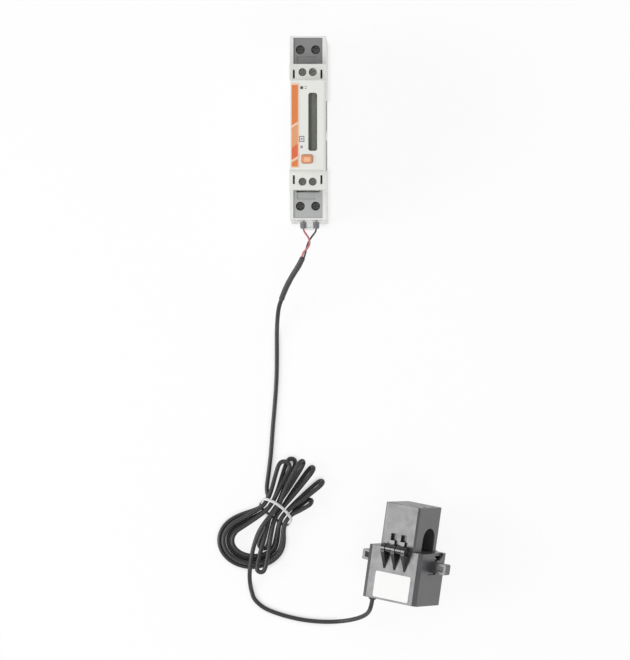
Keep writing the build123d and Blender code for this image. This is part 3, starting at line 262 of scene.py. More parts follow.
def hank_way():
    """Each place with its layer, in the order in which the cable passes them."""
    below = [0] * lobe_places
    above = [1] * lobe_places
    fold = folded(0, fold_width, fold_lean)
    short_fold = folded(0, short_width, steep_lean)
    top_fold = folded(1, top_width, steep_lean)
    way = way_in + waist_strand(0, 0, False) + open_loop(0, 0, True) + waist_strand(5, 0, True)
    way += lobe(5, 5, 1, short_fold_tip, short_width, short_fold, steep_lean)
    way += waist_strand(5, 1, False) + open_loop(0, 1, False) + waist_strand(0, 1, True)
    way += lobe(0, 1, 1, open_lobe_tip, open_width, above)
    way += waist_strand(1, 1, False) + open_loop(1, 1, True) + waist_strand(4, 1, True)
    way += lobe(4, 4, 1, right_fold_tip, fold_width, fold[::-1], fold_lean, -1)
    way += waist_strand(4, 0, False) + open_loop(1, 0, False) + waist_strand(1, 0, True)
    way += lobe(1, 2, 1, flat_lobe_tip, flat_width, below)
    way += waist_strand(2, 0, False)
    way += lobe(2, 3, -1, low_lobe_tip, fold_width, below)
    way += waist_strand(3, 0, True)
    way += lobe(3, 3, 1, middle_fold_tip, fold_width, fold, fold_lean)
    way += waist_strand(3, 1, False)
    way += lobe(3, 2, -1, long_lobe_tip, flat_width, long_layers)
    way += waist_strand(2, 1, True)
    way += lobe(2, 2, 1, top_fold_tip, top_width, top_fold, steep_lean, -1)
    return [(x, y, strand_height(x, y, layer)) for x, y, layer in way + way_out]


def in_metres(way):
    """Places in millimetres as points in metres, to a hundredth of a millimetre."""
    return [tuple(round(value * MM, 5) for value in point) for point in way]


sleeve_points = in_metres(sleeve_way)
cable_points = sleeve_points + in_metres(upper_way + hank_way() + lower_way)
print(len(cable_points), "control points along the cable")

# %% [markdown]
# ## The cable
# A cable is a centreline with a round section, so a NURBS curve with a bevel is the
# plainest way: its control points are the corners of the route, and the spline runs
# smoothly inside them. The spline's order is set after its points, because before that it
# would stay at straight runs. `resolution_u` is how many short pieces stand for each part
# of the spline, and `bevel_resolution` how round the section is.

# %% A round cord as a NURBS curve
cable_diameter = cable_thickness * MM


def smooth_cord(name, points, diameter, resolution=10, roundness=4):
    """An open quadratic NURBS spline through the route, with a circle of that diameter round it."""
    data = bpy.data.curves.new(name, "CURVE")
    data.dimensions = "3D"
    data.resolution_u = resolution
    data.bevel_depth = diameter / 2
    data.bevel_resolution = roundness
    data.use_fill_caps = True
    spline = data.splines.new("NURBS")
    spline.points.add(len(points) - 1)
    spline.points.foreach_set("co", np.c_[np.array(points), np.ones(len(points))].ravel())
    spline.order_u = 3
    spline.use_endpoint_u = True
    piece = bpy.data.objects.new(name, data)
    scene.collection.objects.link(piece)
    return piece


def spline_line(piece):
    """The points along a cord's spline, read from the same curve with no bevel."""
    bare = piece.copy()
    bare.data = piece.data.copy()
    bare.data.bevel_depth = 0
    scene.collection.objects.link(bare)
    graph = bpy.context.evaluated_depsgraph_get()
    mesh = bpy.data.meshes.new_from_object(bare.evaluated_get(graph))
    line = np.zeros(len(mesh.vertices) * 3)
    mesh.vertices.foreach_get("co", line)
    bpy.data.objects.remove(bare)
    return line.reshape(-1, 3)


def line_length(line):
    """The sum of the distances between neighbours."""
    return float(np.linalg.norm(np.diff(line, axis=0), axis=1).sum())


cable = smooth_cord("cable", cable_points, cable_diameter)
cable_line = spline_line(cable)
print("cable length", round(line_length(cable_line), 4), "m")

# %% [markdown]
# ## The two cores
# At the meter the cable ends in two thin cores, a red one and a black one, which cross once
# on their way to the two crimped ferrules. They are too short to be cords of their own.

# %% The red and the black core
core_diameter = 0.95 * MM
core_resolution = 12
core_roundness = 5
red_way = [
    (-2.49, -49.29, 30.37), (-2.43, -50.59, 30.37), (0.2, -53.8, 29.3), (0.7, -57.0, 28.2),
    (-1.1, -59.5, 26.6), (-2.7, -60.7, 24.8), (-3.0, -61.8, 22.71), (-3.64, -63.14, 22.0),
]
black_way = [
    (3.8, -49.3, 30.37), (3.8, -50.6, 30.37), (1.6, -53.1, 28.0), (-0.2, -55.7, 25.4),
    (-1.2, -58.7, 23.6), (-1.92, -62.31, 22.71), (-2.56, -63.66, 22.0),
]
red_core = smooth_cord("red_core", in_metres(red_way), core_diameter, core_resolution, core_roundness)
black_core = smooth_cord("black_core", in_metres(black_way), core_diameter, core_resolution, core_roundness)
print("cores", [round(line_length(spline_line(core)), 4) for core in (red_core, black_core)])


# %% [markdown]
# ## Surfaces from numpy
# The other new pieces are grids: a shape is a function of two parameters, one round and one
# along it. A helper turns a grid of points into a mesh. Rows may close round on themselves,
# and open ends get one flat cap each, so that the surface is closed.

# %% A grid of points as a closed mesh
def grid_mesh(name, grid, wrap_rows=False):
    """grid[i, j] is a point: j goes round and always closes, i goes along and closes if wrap_rows."""
    rows, cols = grid.shape[:2]
    index = np.arange(rows * cols).reshape(rows, cols)
    ahead = np.roll(index, -1, axis=0) if wrap_rows else index[1:]
    here = index if wrap_rows else index[:-1]
    quads = np.stack([here, np.roll(here, -1, 1), np.roll(ahead, -1, 1), ahead], -1).reshape(-1, 4)
    faces = quads.tolist()
    if not wrap_rows:
        faces += [index[0, ::-1].tolist(), index[-1].tolist()]
    mesh = bpy.data.meshes.new(name)
    mesh.from_pydata(grid.reshape(-1, 3).tolist(), [], faces)
    work = bmesh.new()
    work.from_mesh(mesh)
    bmesh.ops.recalc_face_normals(work, faces=work.faces)
    work.to_mesh(mesh)
    work.free()
    mesh.shade_smooth()
    piece = bpy.data.objects.new(name, mesh)
    scene.collection.objects.link(piece)
    return piece


# %% [markdown]
# ## The sleeve
# Where the cores leave the cable, a short sleeve of heat-shrink tube covers the joint. It
# is a tube along the cable's own spline. Heat-shrink follows what is under it and is never
# quite even, so its radius waves a little, and it closes onto the cable at its lower end.
# The cut edge at its upper end is drawn in over the first few rings.

# %% Heat-shrink sleeve along the cable
sleeve_length = 26.9 * MM
sleeve_widest = 1.45 * MM
wave_depth = 0.04 * MM
slow_wave = 9
quick_wave = 23
closing_share = 0.035
closing_depth = 0.3 * MM
cut_edge = np.array([0.22, 0.08, 0.02]) * MM
sleeve_rings = 90


def along(line, distances):
    """Points at given distances along a line, and the line's direction there."""
    steps = np.r_[0, np.cumsum(np.linalg.norm(np.diff(line, axis=0), axis=1))]
    places = np.stack([np.interp(distances, steps, line[:, k]) for k in range(3)], -1)
    ahead = np.gradient(places, axis=0)
    return places, ahead / np.linalg.norm(ahead, axis=1, keepdims=True)


def tube_grid(line, distances, radii, around=28):
    """Circles of the given radii square to a line: place + radius * (cos * side + sin * upward)."""
    places, ahead = along(line, distances)
    side = np.cross(ahead, (0, 0, 1.0))
    side /= np.linalg.norm(side, axis=1, keepdims=True)
    upward = np.cross(side, ahead)
    angle = np.linspace(0, 2 * math.pi, around, endpoint=False)
    ring = np.cos(angle)[None, :, None] * side[:, None] + np.sin(angle)[None, :, None] * upward[:, None]
    return places[:, None] + np.reshape(radii, (len(distances), -1, 1)) * ring


share = np.linspace(0, 1, sleeve_rings)
sleeve_radius = sleeve_widest - wave_depth * (1 + np.sin(share * quick_wave) * np.sin(share * slow_wave))
sleeve_radius -= closing_depth * np.clip((share - 1 + closing_share) / closing_share, 0, 1) ** 2
sleeve_radius[: len(cut_edge)] -= cut_edge
sleeve = grid_mesh("heat_shrink_sleeve", tube_grid(cable_line, share * sleeve_length, sleeve_radius))
print("sleeve", len(sleeve.data.vertices), "points")

# %% [markdown]
# ## The tie
# A soft white tie holds the hank at its waist. It is a flat band with round edges, carried
# along a closed path: a flat bottom under the strands, upright sides, and a low crown over
# the strand on top. The path is a closed quadratic spline with thirteen control points,
# which are given across the bundle and up from its middle. The band leans by 36 degrees
# along the bundle.

# %% The tie's path and band
bundle_height = 5.65
band_lean = math.radians(36)
band_width = 1.5 * MM
band_thickness = 0.9 * MM
band_rounding = 0.4 * MM
band_foot = np.array([(7.2, -5.89)])
band_side = np.array([(9.1, -3.6), (9.1, 0.4), (8.6, 3.0), (4.4, 5.4), (1.6, 5.9)])
waist = np.array([waist_x, waist_y, bundle_height]) * MM
across = np.array([-math.sin(waist_angle), math.cos(waist_angle), 0])
bundle_way = np.array([math.cos(waist_angle), math.sin(waist_angle), 0])
band_axis = bundle_way * math.cos(band_lean) - np.array([0, 0, math.sin(band_lean)])
band_up = np.cross(across, band_axis)
band_up *= np.sign(band_up[2])
band_bottom = band_foot * (0, 1)
mirror = (-1, 1)
other_side = np.vstack([band_side[::-1], band_foot]) * mirror
band_corners = np.vstack([band_foot, band_side, other_side, band_bottom])


def closed_spline(corners, per_corner=12):
    """A closed quadratic B-spline: each part blends three corners with weights that add up to one."""
    t = np.linspace(0, 1, per_corner, endpoint=False)[:, None]
    a, b, c = corners, np.roll(corners, -1, 0), np.roll(corners, -2, 0)
    parts = [(1 - t) ** 2 / 2 * p + (0.5 + t - t * t) * q + t * t / 2 * r for p, q, r in zip(a, b, c)]
    return np.concatenate(parts)


def rounded_section(width, height, corner, per_corner=5):
    """Points round a rectangle with round corners, counted from its middle."""
    angle = np.linspace(0, math.pi / 2, per_corner)
    quarter = corner * np.stack([np.cos(angle), np.sin(angle)], -1)
    spots = []
    for k, (sx, sy) in enumerate(((1, 1), (-1, 1), (-1, -1), (1, -1))):
        c, s = math.cos(k * math.pi / 2), math.sin(k * math.pi / 2)
        turned = quarter @ np.array([[c, s], [-s, c]])
        spots.append(turned + (sx * (width / 2 - corner), sy * (height / 2 - corner)))
    return np.concatenate(spots)


band_path = closed_spline(band_corners) * MM
band_ahead = np.roll(band_path, -1, 0) - np.roll(band_path, 1, 0)
band_ahead /= np.linalg.norm(band_ahead, axis=1, keepdims=True)
band_out = np.stack([band_ahead[:, 1], -band_ahead[:, 0]], -1)
section = rounded_section(band_width, band_thickness, band_rounding)
flat = band_path[:, None] + section[None, :, 1:] * band_out[:, None]
tie_grid = waist + flat[..., :1] * across + flat[..., 1:] * band_up + section[None, :, :1] * band_axis
tie = grid_mesh("soft_tie", tie_grid, wrap_rows=True)
print("tie lowest", round(float(tie_grid[..., 2].min()) / MM, 2), "mm")

# %% [markdown]
# ## The sensor's coil
# Inside the sensor's base a coil of fine enamelled wire is wound round the lower yoke of
# the ferrite core. Hundreds of separate turns would cost far too many faces, so the coil is
# one closed surface whose outside swells once for each turn that shows. It is worked out in
# the sensor's own frame, which is turned in the scene because the sensor leans.

# %% The coil as a ridged sleeve
sensor_origin = np.array([39.64, -234.5, 29.014]) * MM
sensor_across = np.array([0.8530125, -0.1535777, 0.4987820])
sensor_deep = np.array([0.5035579, -0.0088847, -0.8639158])
sensor_up = np.array([0.1371097, 0.9880966, 0.0697565])
yoke_width = 12.0
yoke_height = 4.5
yoke_x = 0.65
yoke_z = 7.25
coil_start = 7.57
coil_stop = 18.43
turns = 24
rings_per_turn = 8
outside_grow = 2.45
outside_corner = 1.9
inside_grow = 0.89
inside_corner = 0.2
turn_swell = 0.2


def in_sensor(x, y, z):
    """Points given across, deep and up in the sensor's own frame, in metres, placed in the scene."""
    turned = x[..., None] * sensor_across + y[..., None] * sensor_deep + z[..., None] * sensor_up
    return sensor_origin + turned


def yoke_ring(grow, corner, per_corner=6):
    """A rounded rectangle round the yoke, larger than it by that much on each side."""
    wide = yoke_width + 2 * grow
    high = yoke_height + 2 * grow
    return rounded_section(wide * MM, high * MM, corner * MM, per_corner)


run = np.linspace(0, 1, turns * rings_per_turn + 1)
wire = (coil_stop - coil_start) / turns
swell = outside_grow + turn_swell * np.abs(np.sin(run * turns * math.pi))
outer = np.stack([yoke_ring(grow, outside_corner) for grow in swell])
inner = np.stack([yoke_ring(inside_grow, inside_corner)] * 2)
profile = np.concatenate([outer, inner])
depth = np.r_[coil_start + run * (coil_stop - coil_start), coil_stop, coil_start] * MM
coil_x = profile[..., 0] + yoke_x * MM
coil_y = np.broadcast_to(depth[:, None], coil_x.shape)
coil_z = profile[..., 1] + yoke_z * MM
coil = grid_mesh("coil_turns", in_sensor(coil_x, coil_y, coil_z), wrap_rows=True)
print("coil", turns, "turns of", round(wire, 2), "mm")


# %% [markdown]
# ## One function for nodes, one for colours
# A material is a small graph. `add` puts in one node, sets its fields and links or sets its
# inputs, so that each material below reads as a list. Colours are written as sRGB hex values
# and turned to linear here.

# %% Nodes and colours
def linear(code, alpha=1.0):
    """sRGB hex to linear: below 0.04045 divide by 12.92, above it the 2.4 power."""
    srgb = np.array([int(code[i : i + 2], 16) for i in (1, 3, 5)]) / 255
    rgb = np.where(srgb <= 0.04045, srgb / 12.92, ((srgb + 0.055) / 1.055) ** 2.4)
    return (*rgb.tolist(), alpha)


def add(tree, kind, inputs=None, **fields):
    """Add a node; a socket among the inputs is linked, and any other value is set."""
    node = tree.nodes.new("ShaderNode" + kind)
    for key, value in fields.items():
        setattr(node, key, value)
    for key, value in (inputs or {}).items():
        if isinstance(value, bpy.types.NodeSocket):
            tree.links.new(value, node.inputs[key])
        else:
            node.inputs[key].default_value = value
    return node


def start(name):
    """An empty material with its object coordinates."""
    material = bpy.data.materials.new(name)
    material.use_nodes = True
    material.node_tree.nodes.clear()
    place = add(material.node_tree, "TexCoord").outputs["Object"]
    return material, material.node_tree, place


def end(tree, shader):
    """Put the shader on the material's surface."""
    add(tree, "OutputMaterial", {"Surface": shader.outputs[0]})


def surface(tree, inputs):
    """End a material in one Principled shader."""
    end(tree, add(tree, "BsdfPrincipled", inputs))


# %% [markdown]
# Three small helpers do the arithmetic: one mixes two colours by a share, one carries a
# value from one range to another, and one combines two values.

# %% Arithmetic with nodes
def blend(tree, share_over, under, over):
    """under * (1 - share) + over * share, for colours."""
    inputs = {"Factor": share_over, "A": under, "B": over}
    return add(tree, "Mix", inputs, data_type="RGBA").outputs["Result"]


def ramp(tree, value, first, last, low=0.0, high=1.0, **fields):
    """low at the first value, high at the last one, straight between them and held outside."""
    inputs = {"Value": value, "From Min": first, "From Max": last, "To Min": low, "To Max": high}
    return add(tree, "MapRange", inputs, **fields).outputs[0]


def combine(tree, how, a, b):
    """Two values put together and kept between 0 and 1."""
    return add(tree, "Math", {0: a, 1: b}, operation=how, use_clamp=True).outputs[0]


# %% [markdown]
# No real surface is quite even. Most materials below get three things: a colour that
# drifts between two close shades, a roughness that drifts too, and a fine grain over edges
# that look rounded. The drift and the grain are noise in the object's coordinates, so they
# stay on the piece when it moves.

# %% Drift, grain and worn edges
shade_detail = 4.0
gloss_detail = 3.0
grain_detail = 2.0
grain_strength = 0.6
noise_low = 0.3
noise_high = 0.7
edge_samples = 6


def per_metre(size_mm):
    """The scale that makes a noise pattern's features about that many millimetres across."""
    return 1000 / size_mm


def noise(tree, place, size_mm, detail):
    """Noise with features of that size."""
    inputs = {"Vector": place, "Scale": per_metre(size_mm), "Detail": detail}
    return add(tree, "TexNoise", inputs).outputs[0]


def worn_edge(tree, radius_mm):
    """Normals that run smoothly over a sharp edge, as a moulded edge's do."""
    return add(tree, "Bevel", {"Radius": radius_mm * MM}, samples=edge_samples).outputs["Normal"]


def grained(tree, place, size_mm, depth_mm, edge_mm=0.25):
    """A fine bump of that grain size over the rounded edges."""
    inputs = {
        "Height": noise(tree, place, size_mm, grain_detail),
        "Distance": depth_mm * MM,
        "Strength": grain_strength,
        "Normal": worn_edge(tree, edge_mm),
    }
    return add(tree, "Bump", inputs).outputs[0]


def varied(tree, place, low, high, size_mm):
    """A value that drifts between two limits over that distance: for roughness."""
    return ramp(tree, noise(tree, place, size_mm, gloss_detail), noise_low, noise_high, low, high)


def tinted(tree, place, dark, light, size_mm):
    """A colour that drifts between two close shades."""
    return blend(tree, noise(tree, place, size_mm, shade_detail), linear(dark), linear(light))


# %% [markdown]
# ## Moulded plastics
# Most of the meter is moulded: white polycarbonate for the housing, and grey polyamide for
# the terminal blocks. The mould is spark-eroded, which leaves a fine even grain that turns
# gloss into a satin sheen. The grain is really about 0.1 mm and is drawn several times as
# coarse, so that it shows at all. One recipe serves them all, and each plastic has shades
# and mostly a grain of its own.

# %% The moulded plastics' recipe
shade_patch_mm = 9
gloss_patch_mm = 4


def moulded(name, dark, light, rough=(0.42, 0.52), grain_mm=0.4, depth_mm=0.012, edge_mm=0.25, ior=1.55):
    """A plastic with large patches of shade, smaller ones of gloss, and a moulded grain."""
    material, tree, place = start(name)
    inputs = {
        "Base Color": tinted(tree, place, dark, light, shade_patch_mm),
        "Roughness": varied(tree, place, *rough, gloss_patch_mm),
        "IOR": ior,
        "Normal": grained(tree, place, grain_mm, depth_mm, edge_mm),
    }
    surface(tree, inputs)
    return material


white_shell = moulded("white_polycarbonate_shell", "#E4E5E2", "#E9EAE7")
grey_blocks = moulded("grey_polyamide_block", "#7E7F7E", "#868786", rough=(0.5, 0.6), grain_mm=0.5)
light_blocks = moulded("light_grey_polyamide_block", "#ABADAC", "#B2B4B3", rough=(0.5, 0.6), grain_mm=0.5)
pale_clip = moulded("pale_polyamide_clip", "#E2E4E3", "#E8EAE9", rough=(0.45, 0.55), grain_mm=0.5)
switch_body = moulded("black_nylon_switch", "#1C1C1D", "#232324", rough=(0.5, 0.6), grain_mm=0.3)
bobbin_nylon = moulded("natural_nylon_bobbin", "#CFCBBB", "#D9D5C6", rough=(0.45, 0.55), grain_mm=0.5)
print("moulded plastics ready")

# %% [markdown]
# ## The sensor's black shell
# The sensor is moulded in black flame-retardant plastic with a silky finish. It looks grey
# where it catches the studio light, so its sheen matters more than its colour: a fairly
# smooth surface with fine grain, and slow, cloudy changes in gloss from handling. The
# hinge's claws and knuckles stand in front of the flat front face. Their small curved faces
# are polished by the tool, so they are smoother, and they are painted darker: painted shade
# for the light that they miss and the flat face catches. How far a point stands out of the
# front face is its dot product with the face's normal, less the face's own distance.

# %% Satin black shell with painted shade on the claws
front_distance = 3.02 * MM
claw_from = 0.15 * MM
claw_full = 0.6 * MM
claw_gloss = 0.22
front_normal = (-0.50356, 0.00888, 0.86392)
sensor_shell, tree, place = start("satin_black_sensor_shell")
outward = add(tree, "VectorMath", {0: place, 1: front_normal}, operation="DOT_PRODUCT").outputs["Value"]
claws = ramp(tree, outward, front_distance + claw_from, front_distance + claw_full)
black = tinted(tree, place, "#3F3F42", "#474749", shade_patch_mm)
satin = varied(tree, place, 0.3, 0.4, gloss_patch_mm)
# The claws' darker base colour is painted shade; their lower roughness is the tool's polish.
shell_inputs = {
    "Base Color": blend(tree, claws, black, linear("#161617")),
    "Roughness": add(tree, "Mix", {"Factor": claws, "A": satin, "B": claw_gloss}).outputs["Result"],
    "IOR": 1.78,
    "Normal": grained(tree, place, size_mm=0.6, depth_mm=0.016, edge_mm=0.22),
}
surface(tree, shell_inputs)
print("claws darkened beyond", round(front_distance / MM, 2), "mm")

# %% [markdown]
# ## Printed front panel
# The front cover is the same white plastic, with a few small printed marks beside the
# display: two short dashes by the indicator, a plain square frame with a smaller square in
# it, and a soft dot below the frame. A mark is printed where the distance to it, worked out
# from the object's coordinates, is small enough, and only on the panel's top face.

# %% Masks worked out from coordinates
def mask_near(tree, value, centre, half, soft):
    """1 where a value is within half of the centre, falling to 0 over soft, all in millimetres."""
    away = add(tree, "Math", {0: value, 1: centre * MM}, operation="SUBTRACT").outputs[0]
    away = add(tree, "Math", {0: away}, operation="ABSOLUTE").outputs[0]
    return ramp(tree, away, (half + soft) * MM, half * MM, interpolation_type="SMOOTHSTEP")


def box_mask(tree, parts, middle, sides, soft=0.05):
    """1 inside a rectangle given in millimetres by its middle and its two sides."""
    inside = [mask_near(tree, parts[i], middle[i], sides[i] / 2, soft) for i in (0, 1)]
    return combine(tree, "MULTIPLY", *inside)


# %% [markdown]
# The marks are summed into one mask, which mixes the ink over the plastic.

# %% The front cover with its printed marks
panel_height = 65
ink_depth = 0.03
ink_soft = 0.02
frame_middle = (-2.6, -7.0)
frame_sides = (2.7, 2.9)
frame_opening = (1.7, 1.9)
square_sides = (0.8, 0.9)
dot_middle = (-2.6, -10.9)
dot_sides = (0.8, 1.0)
dot_soft = 0.3
dash_middles = ((-0.6, 18.6), (-0.6, 17.7))
dash_sides = (0.9, 0.35)
printed_cover, tree, place = start("printed_polycarbonate_cover")
parts = add(tree, "SeparateXYZ", {"Vector": place}).outputs
frame_outside = box_mask(tree, parts, frame_middle, frame_sides)
frame_inside = box_mask(tree, parts, frame_middle, frame_opening)
marks = combine(tree, "SUBTRACT", frame_outside, frame_inside)
inked = [box_mask(tree, parts, frame_middle, square_sides)]
inked.append(box_mask(tree, parts, dot_middle, dot_sides, dot_soft))
inked += [box_mask(tree, parts, middle, dash_sides) for middle in dash_middles]
for mark in inked:
    marks = combine(tree, "ADD", marks, mark)
marks = combine(tree, "MULTIPLY", marks, mask_near(tree, parts["Z"], panel_height, ink_depth, ink_soft))
panel_white = tinted(tree, place, "#E6E6E1", "#EAEAE6", shade_patch_mm)
cover_inputs = {
    "Base Color": blend(tree, marks, panel_white, linear("#8B8D8A")),
    "Roughness": varied(tree, place, 0.4, 0.5, gloss_patch_mm),
    "IOR": 1.58,
    "Normal": grained(tree, place, size_mm=0.4, depth_mm=0.01),
}
surface(tree, cover_inputs)
print("cover marks drawn")

# %% [markdown]
# ## The orange stripe
# A printed polyester film runs down the panel's left side. It is orange with a pale border,
# crossed by two pale slanting lines. Below the first line the orange is paler, and just
# above the second one it is redder. All of it is worked out from x and y in millimetres: a
# slanting line is where y, less the slope times x, is near a value.

# %% Printed film
film_slope = 0.62
stripe_middle = (-5.95, -0.55)
stripe_sides = (2.75, 39.6)
stripe_soft = 0.35
lines_at = (3.55, -13.3)
line_half = 0.55
line_soft = 0.25
red_at = -9.7
red_half = 2.7
red_soft = 0.3
pale_at = -2.0
pale_half = 4.3
pale_soft = 0.4
stripe_film, tree, place = start("printed_polyester_stripe")
parts = add(tree, "SeparateXYZ", {"Vector": place}).outputs
sloped = add(tree, "Math", {0: parts["X"], 1: film_slope}, operation="MULTIPLY").outputs[0]
slant = add(tree, "Math", {0: parts["Y"], 1: sloped}, operation="SUBTRACT").outputs[0]
core = box_mask(tree, parts, stripe_middle, stripe_sides, stripe_soft)
lines = [mask_near(tree, slant, at, line_half, line_soft) for at in lines_at]
red_field = mask_near(tree, slant, red_at, red_half, red_soft)
pale_field = mask_near(tree, slant, pale_at, pale_half, pale_soft)
orange = tinted(tree, place, "#E07F42", "#E38549", size_mm=3)
orange = blend(tree, red_field, orange, linear("#E16B45"))
orange = blend(tree, pale_field, orange, linear("#E8A071"))
covered = combine(tree, "SUBTRACT", core, combine(tree, "ADD", *lines))
film_inputs = {
    "Base Color": blend(tree, covered, linear("#F0CDB1"), orange),
    "Roughness": 0.35,
    "IOR": 1.64,
    "Normal": grained(tree, place, size_mm=1.2, depth_mm=0.004, edge_mm=0.05),
}
surface(tree, film_inputs)
print("stripe drawn with", len(lines), "slanting lines")


# %% [markdown]
# The two films on the meter's side are polyester with a faint rolled grain along their length,
# drawn plain dark grey: painted shade for the dark lines that they show edge-on. The sensor's
# label is white vinyl, left blank.

# %% Grey and white films
def film_material(name, shade, other, rough, stretch):
    """A smooth film whose faint pattern may be drawn out along one axis."""
    material, tree, place = start(name)
    drawn = add(tree, "Mapping", {"Vector": place, "Scale": stretch}).outputs[0]
    inputs = {
        "Base Color": tinted(tree, drawn, shade, other, size_mm=1.5),
        "Roughness": rough,
        "IOR": 1.64,
        "Normal": grained(tree, drawn, size_mm=0.8, depth_mm=0.004, edge_mm=0.05),
    }
    surface(tree, inputs)
    return material


# The side films' dark grey is painted shade for the dark lines that they show edge-on.
edge_shaded_film = film_material("edge_shaded_polyester_label", "#4C4D4F", "#58595B", 0.38, (1, 0.1, 1))
white_vinyl = film_material("white_vinyl_label", "#DCDCDB", "#E0E0DF", 0.45, (1, 1, 1))
print("films ready")

# %% [markdown]
# ## The display
# Behind a tinted window lies a reflective liquid-crystal panel. With nothing shown it is a
# flat grey-green. A band along its left side is painted darker: painted shade from the wall
# of the recess beside it. The window is smoked acrylic: clear, with a little colour.

# %% Liquid-crystal panel and smoked window
dim_x = 1.1
dim_half = 0.95
dim_soft = 0.35
crystal_panel, tree, place = start("grey_liquid_crystal_panel")
parts = add(tree, "SeparateXYZ", {"Vector": place}).outputs
# Painted shade: the darker band along the panel's left side, where the recess wall shades it.
painted_recess_shade = mask_near(tree, parts["X"], dim_x, dim_half, dim_soft)
panel_grey = tinted(tree, place, "#D3D7CD", "#D9DDD3", size_mm=8)
panel_inputs = {
    "Base Color": blend(tree, painted_recess_shade, panel_grey, linear("#A9ADA4")),
    "Roughness": 0.3,
    "IOR": 1.52,
    "Normal": grained(tree, place, size_mm=0.5, depth_mm=0.003, edge_mm=0.1),
}
surface(tree, panel_inputs)
smoked_window, tree, place = start("smoked_acrylic_window")
window_inputs = {
    "Base Color": linear("#D3D5CF"),
    "Roughness": varied(tree, place, 0.03, 0.08, size_mm=6),
    "IOR": 1.49,
    "Transmission Weight": 1.0,
    "Normal": worn_edge(tree, radius_mm=0.15),
}
surface(tree, window_inputs)
print("display ready")

# %% [markdown]
# The button is moulded in orange, with a paler worn middle, and the indicator is a dark
# lens of smoked epoxy over a lamp that is off.

# %% Button and indicator
worn_middle = (0.05, -17.1)
worn_sides = (2.3, 1.3)
worn_soft = 0.9
button_plastic, tree, place = start("orange_polycarbonate_button")
parts = add(tree, "SeparateXYZ", {"Vector": place}).outputs
worn = box_mask(tree, parts, worn_middle, worn_sides, worn_soft)
button_orange = tinted(tree, place, "#D98B5A", "#DF9464", size_mm=4)
button_inputs = {
    "Base Color": blend(tree, worn, button_orange, linear("#F4BE96")),
    "Roughness": varied(tree, place, 0.36, 0.46, size_mm=2),
    "IOR": 1.58,
    "Normal": grained(tree, place, size_mm=0.3, depth_mm=0.008, edge_mm=0.3),
}
surface(tree, button_inputs)
lens_look = {"rough": (0.12, 0.2), "grain_mm": 0.8, "depth_mm": 0.002, "edge_mm": 0.3, "ior": 1.54}
dark_lens = moulded("smoked_epoxy_lens", "#5E5F5D", "#686967", **lens_look)
print("button and indicator ready")


# %% [markdown]
# ## Metals
# The screws are zinc-plated steel. In the deep holes of the mains terminals they look almost
# black, so these are painted darker: painted shade from the holes. Plating has a crystalline
# mottle about a millimetre across and fine turning marks. Brass bars, tinned cages and the
# aluminium can follow the same recipe.
# The ferrite cores and the varnished stack are dull and dark, so they follow the recipe of
# the moulded plastics.

# %% The metals' recipe
def plated(name, dark, light, rough, grain_mm=0.5, stretch=(1, 1, 1)):
    """A metal whose mottle and marks may be drawn out along one axis."""
    material, tree, place = start(name)
    drawn = add(tree, "Mapping", {"Vector": place, "Scale": stretch}).outputs[0]
    inputs = {
        "Base Color": tinted(tree, drawn, dark, light, size_mm=0.9),
        "Metallic": 1.0,
        "Roughness": varied(tree, drawn, *rough, size_mm=0.7),
        "Normal": grained(tree, drawn, grain_mm, depth_mm=0.008, edge_mm=0.15),
    }
    surface(tree, inputs)
    return material


zinc_screw = plated("zinc_plated_steel_screw", "#787876", "#A9A9A6", (0.3, 0.45))
# The mains screws' darker colour is painted shade from their deep holes.
hole_shaded_screw = plated("shaded_zinc_plated_screw", "#5A5A5A", "#787877", (0.35, 0.5))
tinned_cage = plated("tinned_steel_cage", "#A3A4A2", "#BDBEBC", (0.28, 0.4), 0.4, (1, 0.2, 1))
brass_bar = plated("rolled_brass_bar", "#B8964C", "#C9A85D", (0.25, 0.38), 0.3, (1, 0.1, 1))
drawn_can = plated("drawn_aluminium_can", "#A9AAAD", "#BFC0C3", (0.3, 0.4), 0.3, (0.1, 1, 1))
pin_steel = plated("ground_steel_pin", "#8F908F", "#A9AAA9", (0.22, 0.32), 0.2, (0.15, 1, 1))
ferrite_look = {"rough": (0.55, 0.7), "grain_mm": 0.25, "depth_mm": 0.02, "edge_mm": 0.2, "ior": 2.0}
ferrite = moulded("sintered_ferrite_core", "#37373A", "#424246", **ferrite_look)
stack_look = {"rough": (0.35, 0.55), "grain_mm": 0.35, "depth_mm": 0.02, "edge_mm": 0.15, "ior": 1.6}
transformer_core = moulded("varnished_transformer_stack", "#2B2B2D", "#3A3A3D", **stack_look)
print("metals ready")

# %% [markdown]
# ## Circuit boards
# The boards are glass-epoxy under green solder mask. Copper tracks lie under the mask as
# slightly lighter lines: a brick pattern's joints give a fair net of them, and small gold
# dots stand for the plated holes.

# %% Boards with tracks
hole_pitch = 2.54
dot_edge = 0.16
dot_core = 0.12
board_mask, tree, place = start("green_solder_mask_board")
track_inputs = {
    "Vector": place,
    "Scale": per_metre(hole_pitch),
    "Mortar Size": 0.05,
    "Brick Width": 1.7,
    "Row Height": 0.5,
    "Color1": linear("#1E5B36"),
    "Color2": linear("#21623A"),
    "Mortar": linear("#3C8455"),
}
tracks = add(tree, "TexBrick", track_inputs).outputs["Color"]
holes = add(tree, "TexVoronoi", {"Vector": place, "Scale": per_metre(hole_pitch), "Randomness": 0.6})
dots = ramp(tree, holes.outputs["Distance"], dot_edge, dot_core)
board_inputs = {
    "Base Color": blend(tree, dots, tracks, linear("#C2A45A")),
    "Roughness": varied(tree, place, 0.25, 0.4, size_mm=3),
    "IOR": 1.55,
    "Normal": grained(tree, place, size_mm=0.4, depth_mm=0.006, edge_mm=0.1),
}
surface(tree, board_inputs)
print("boards ready")


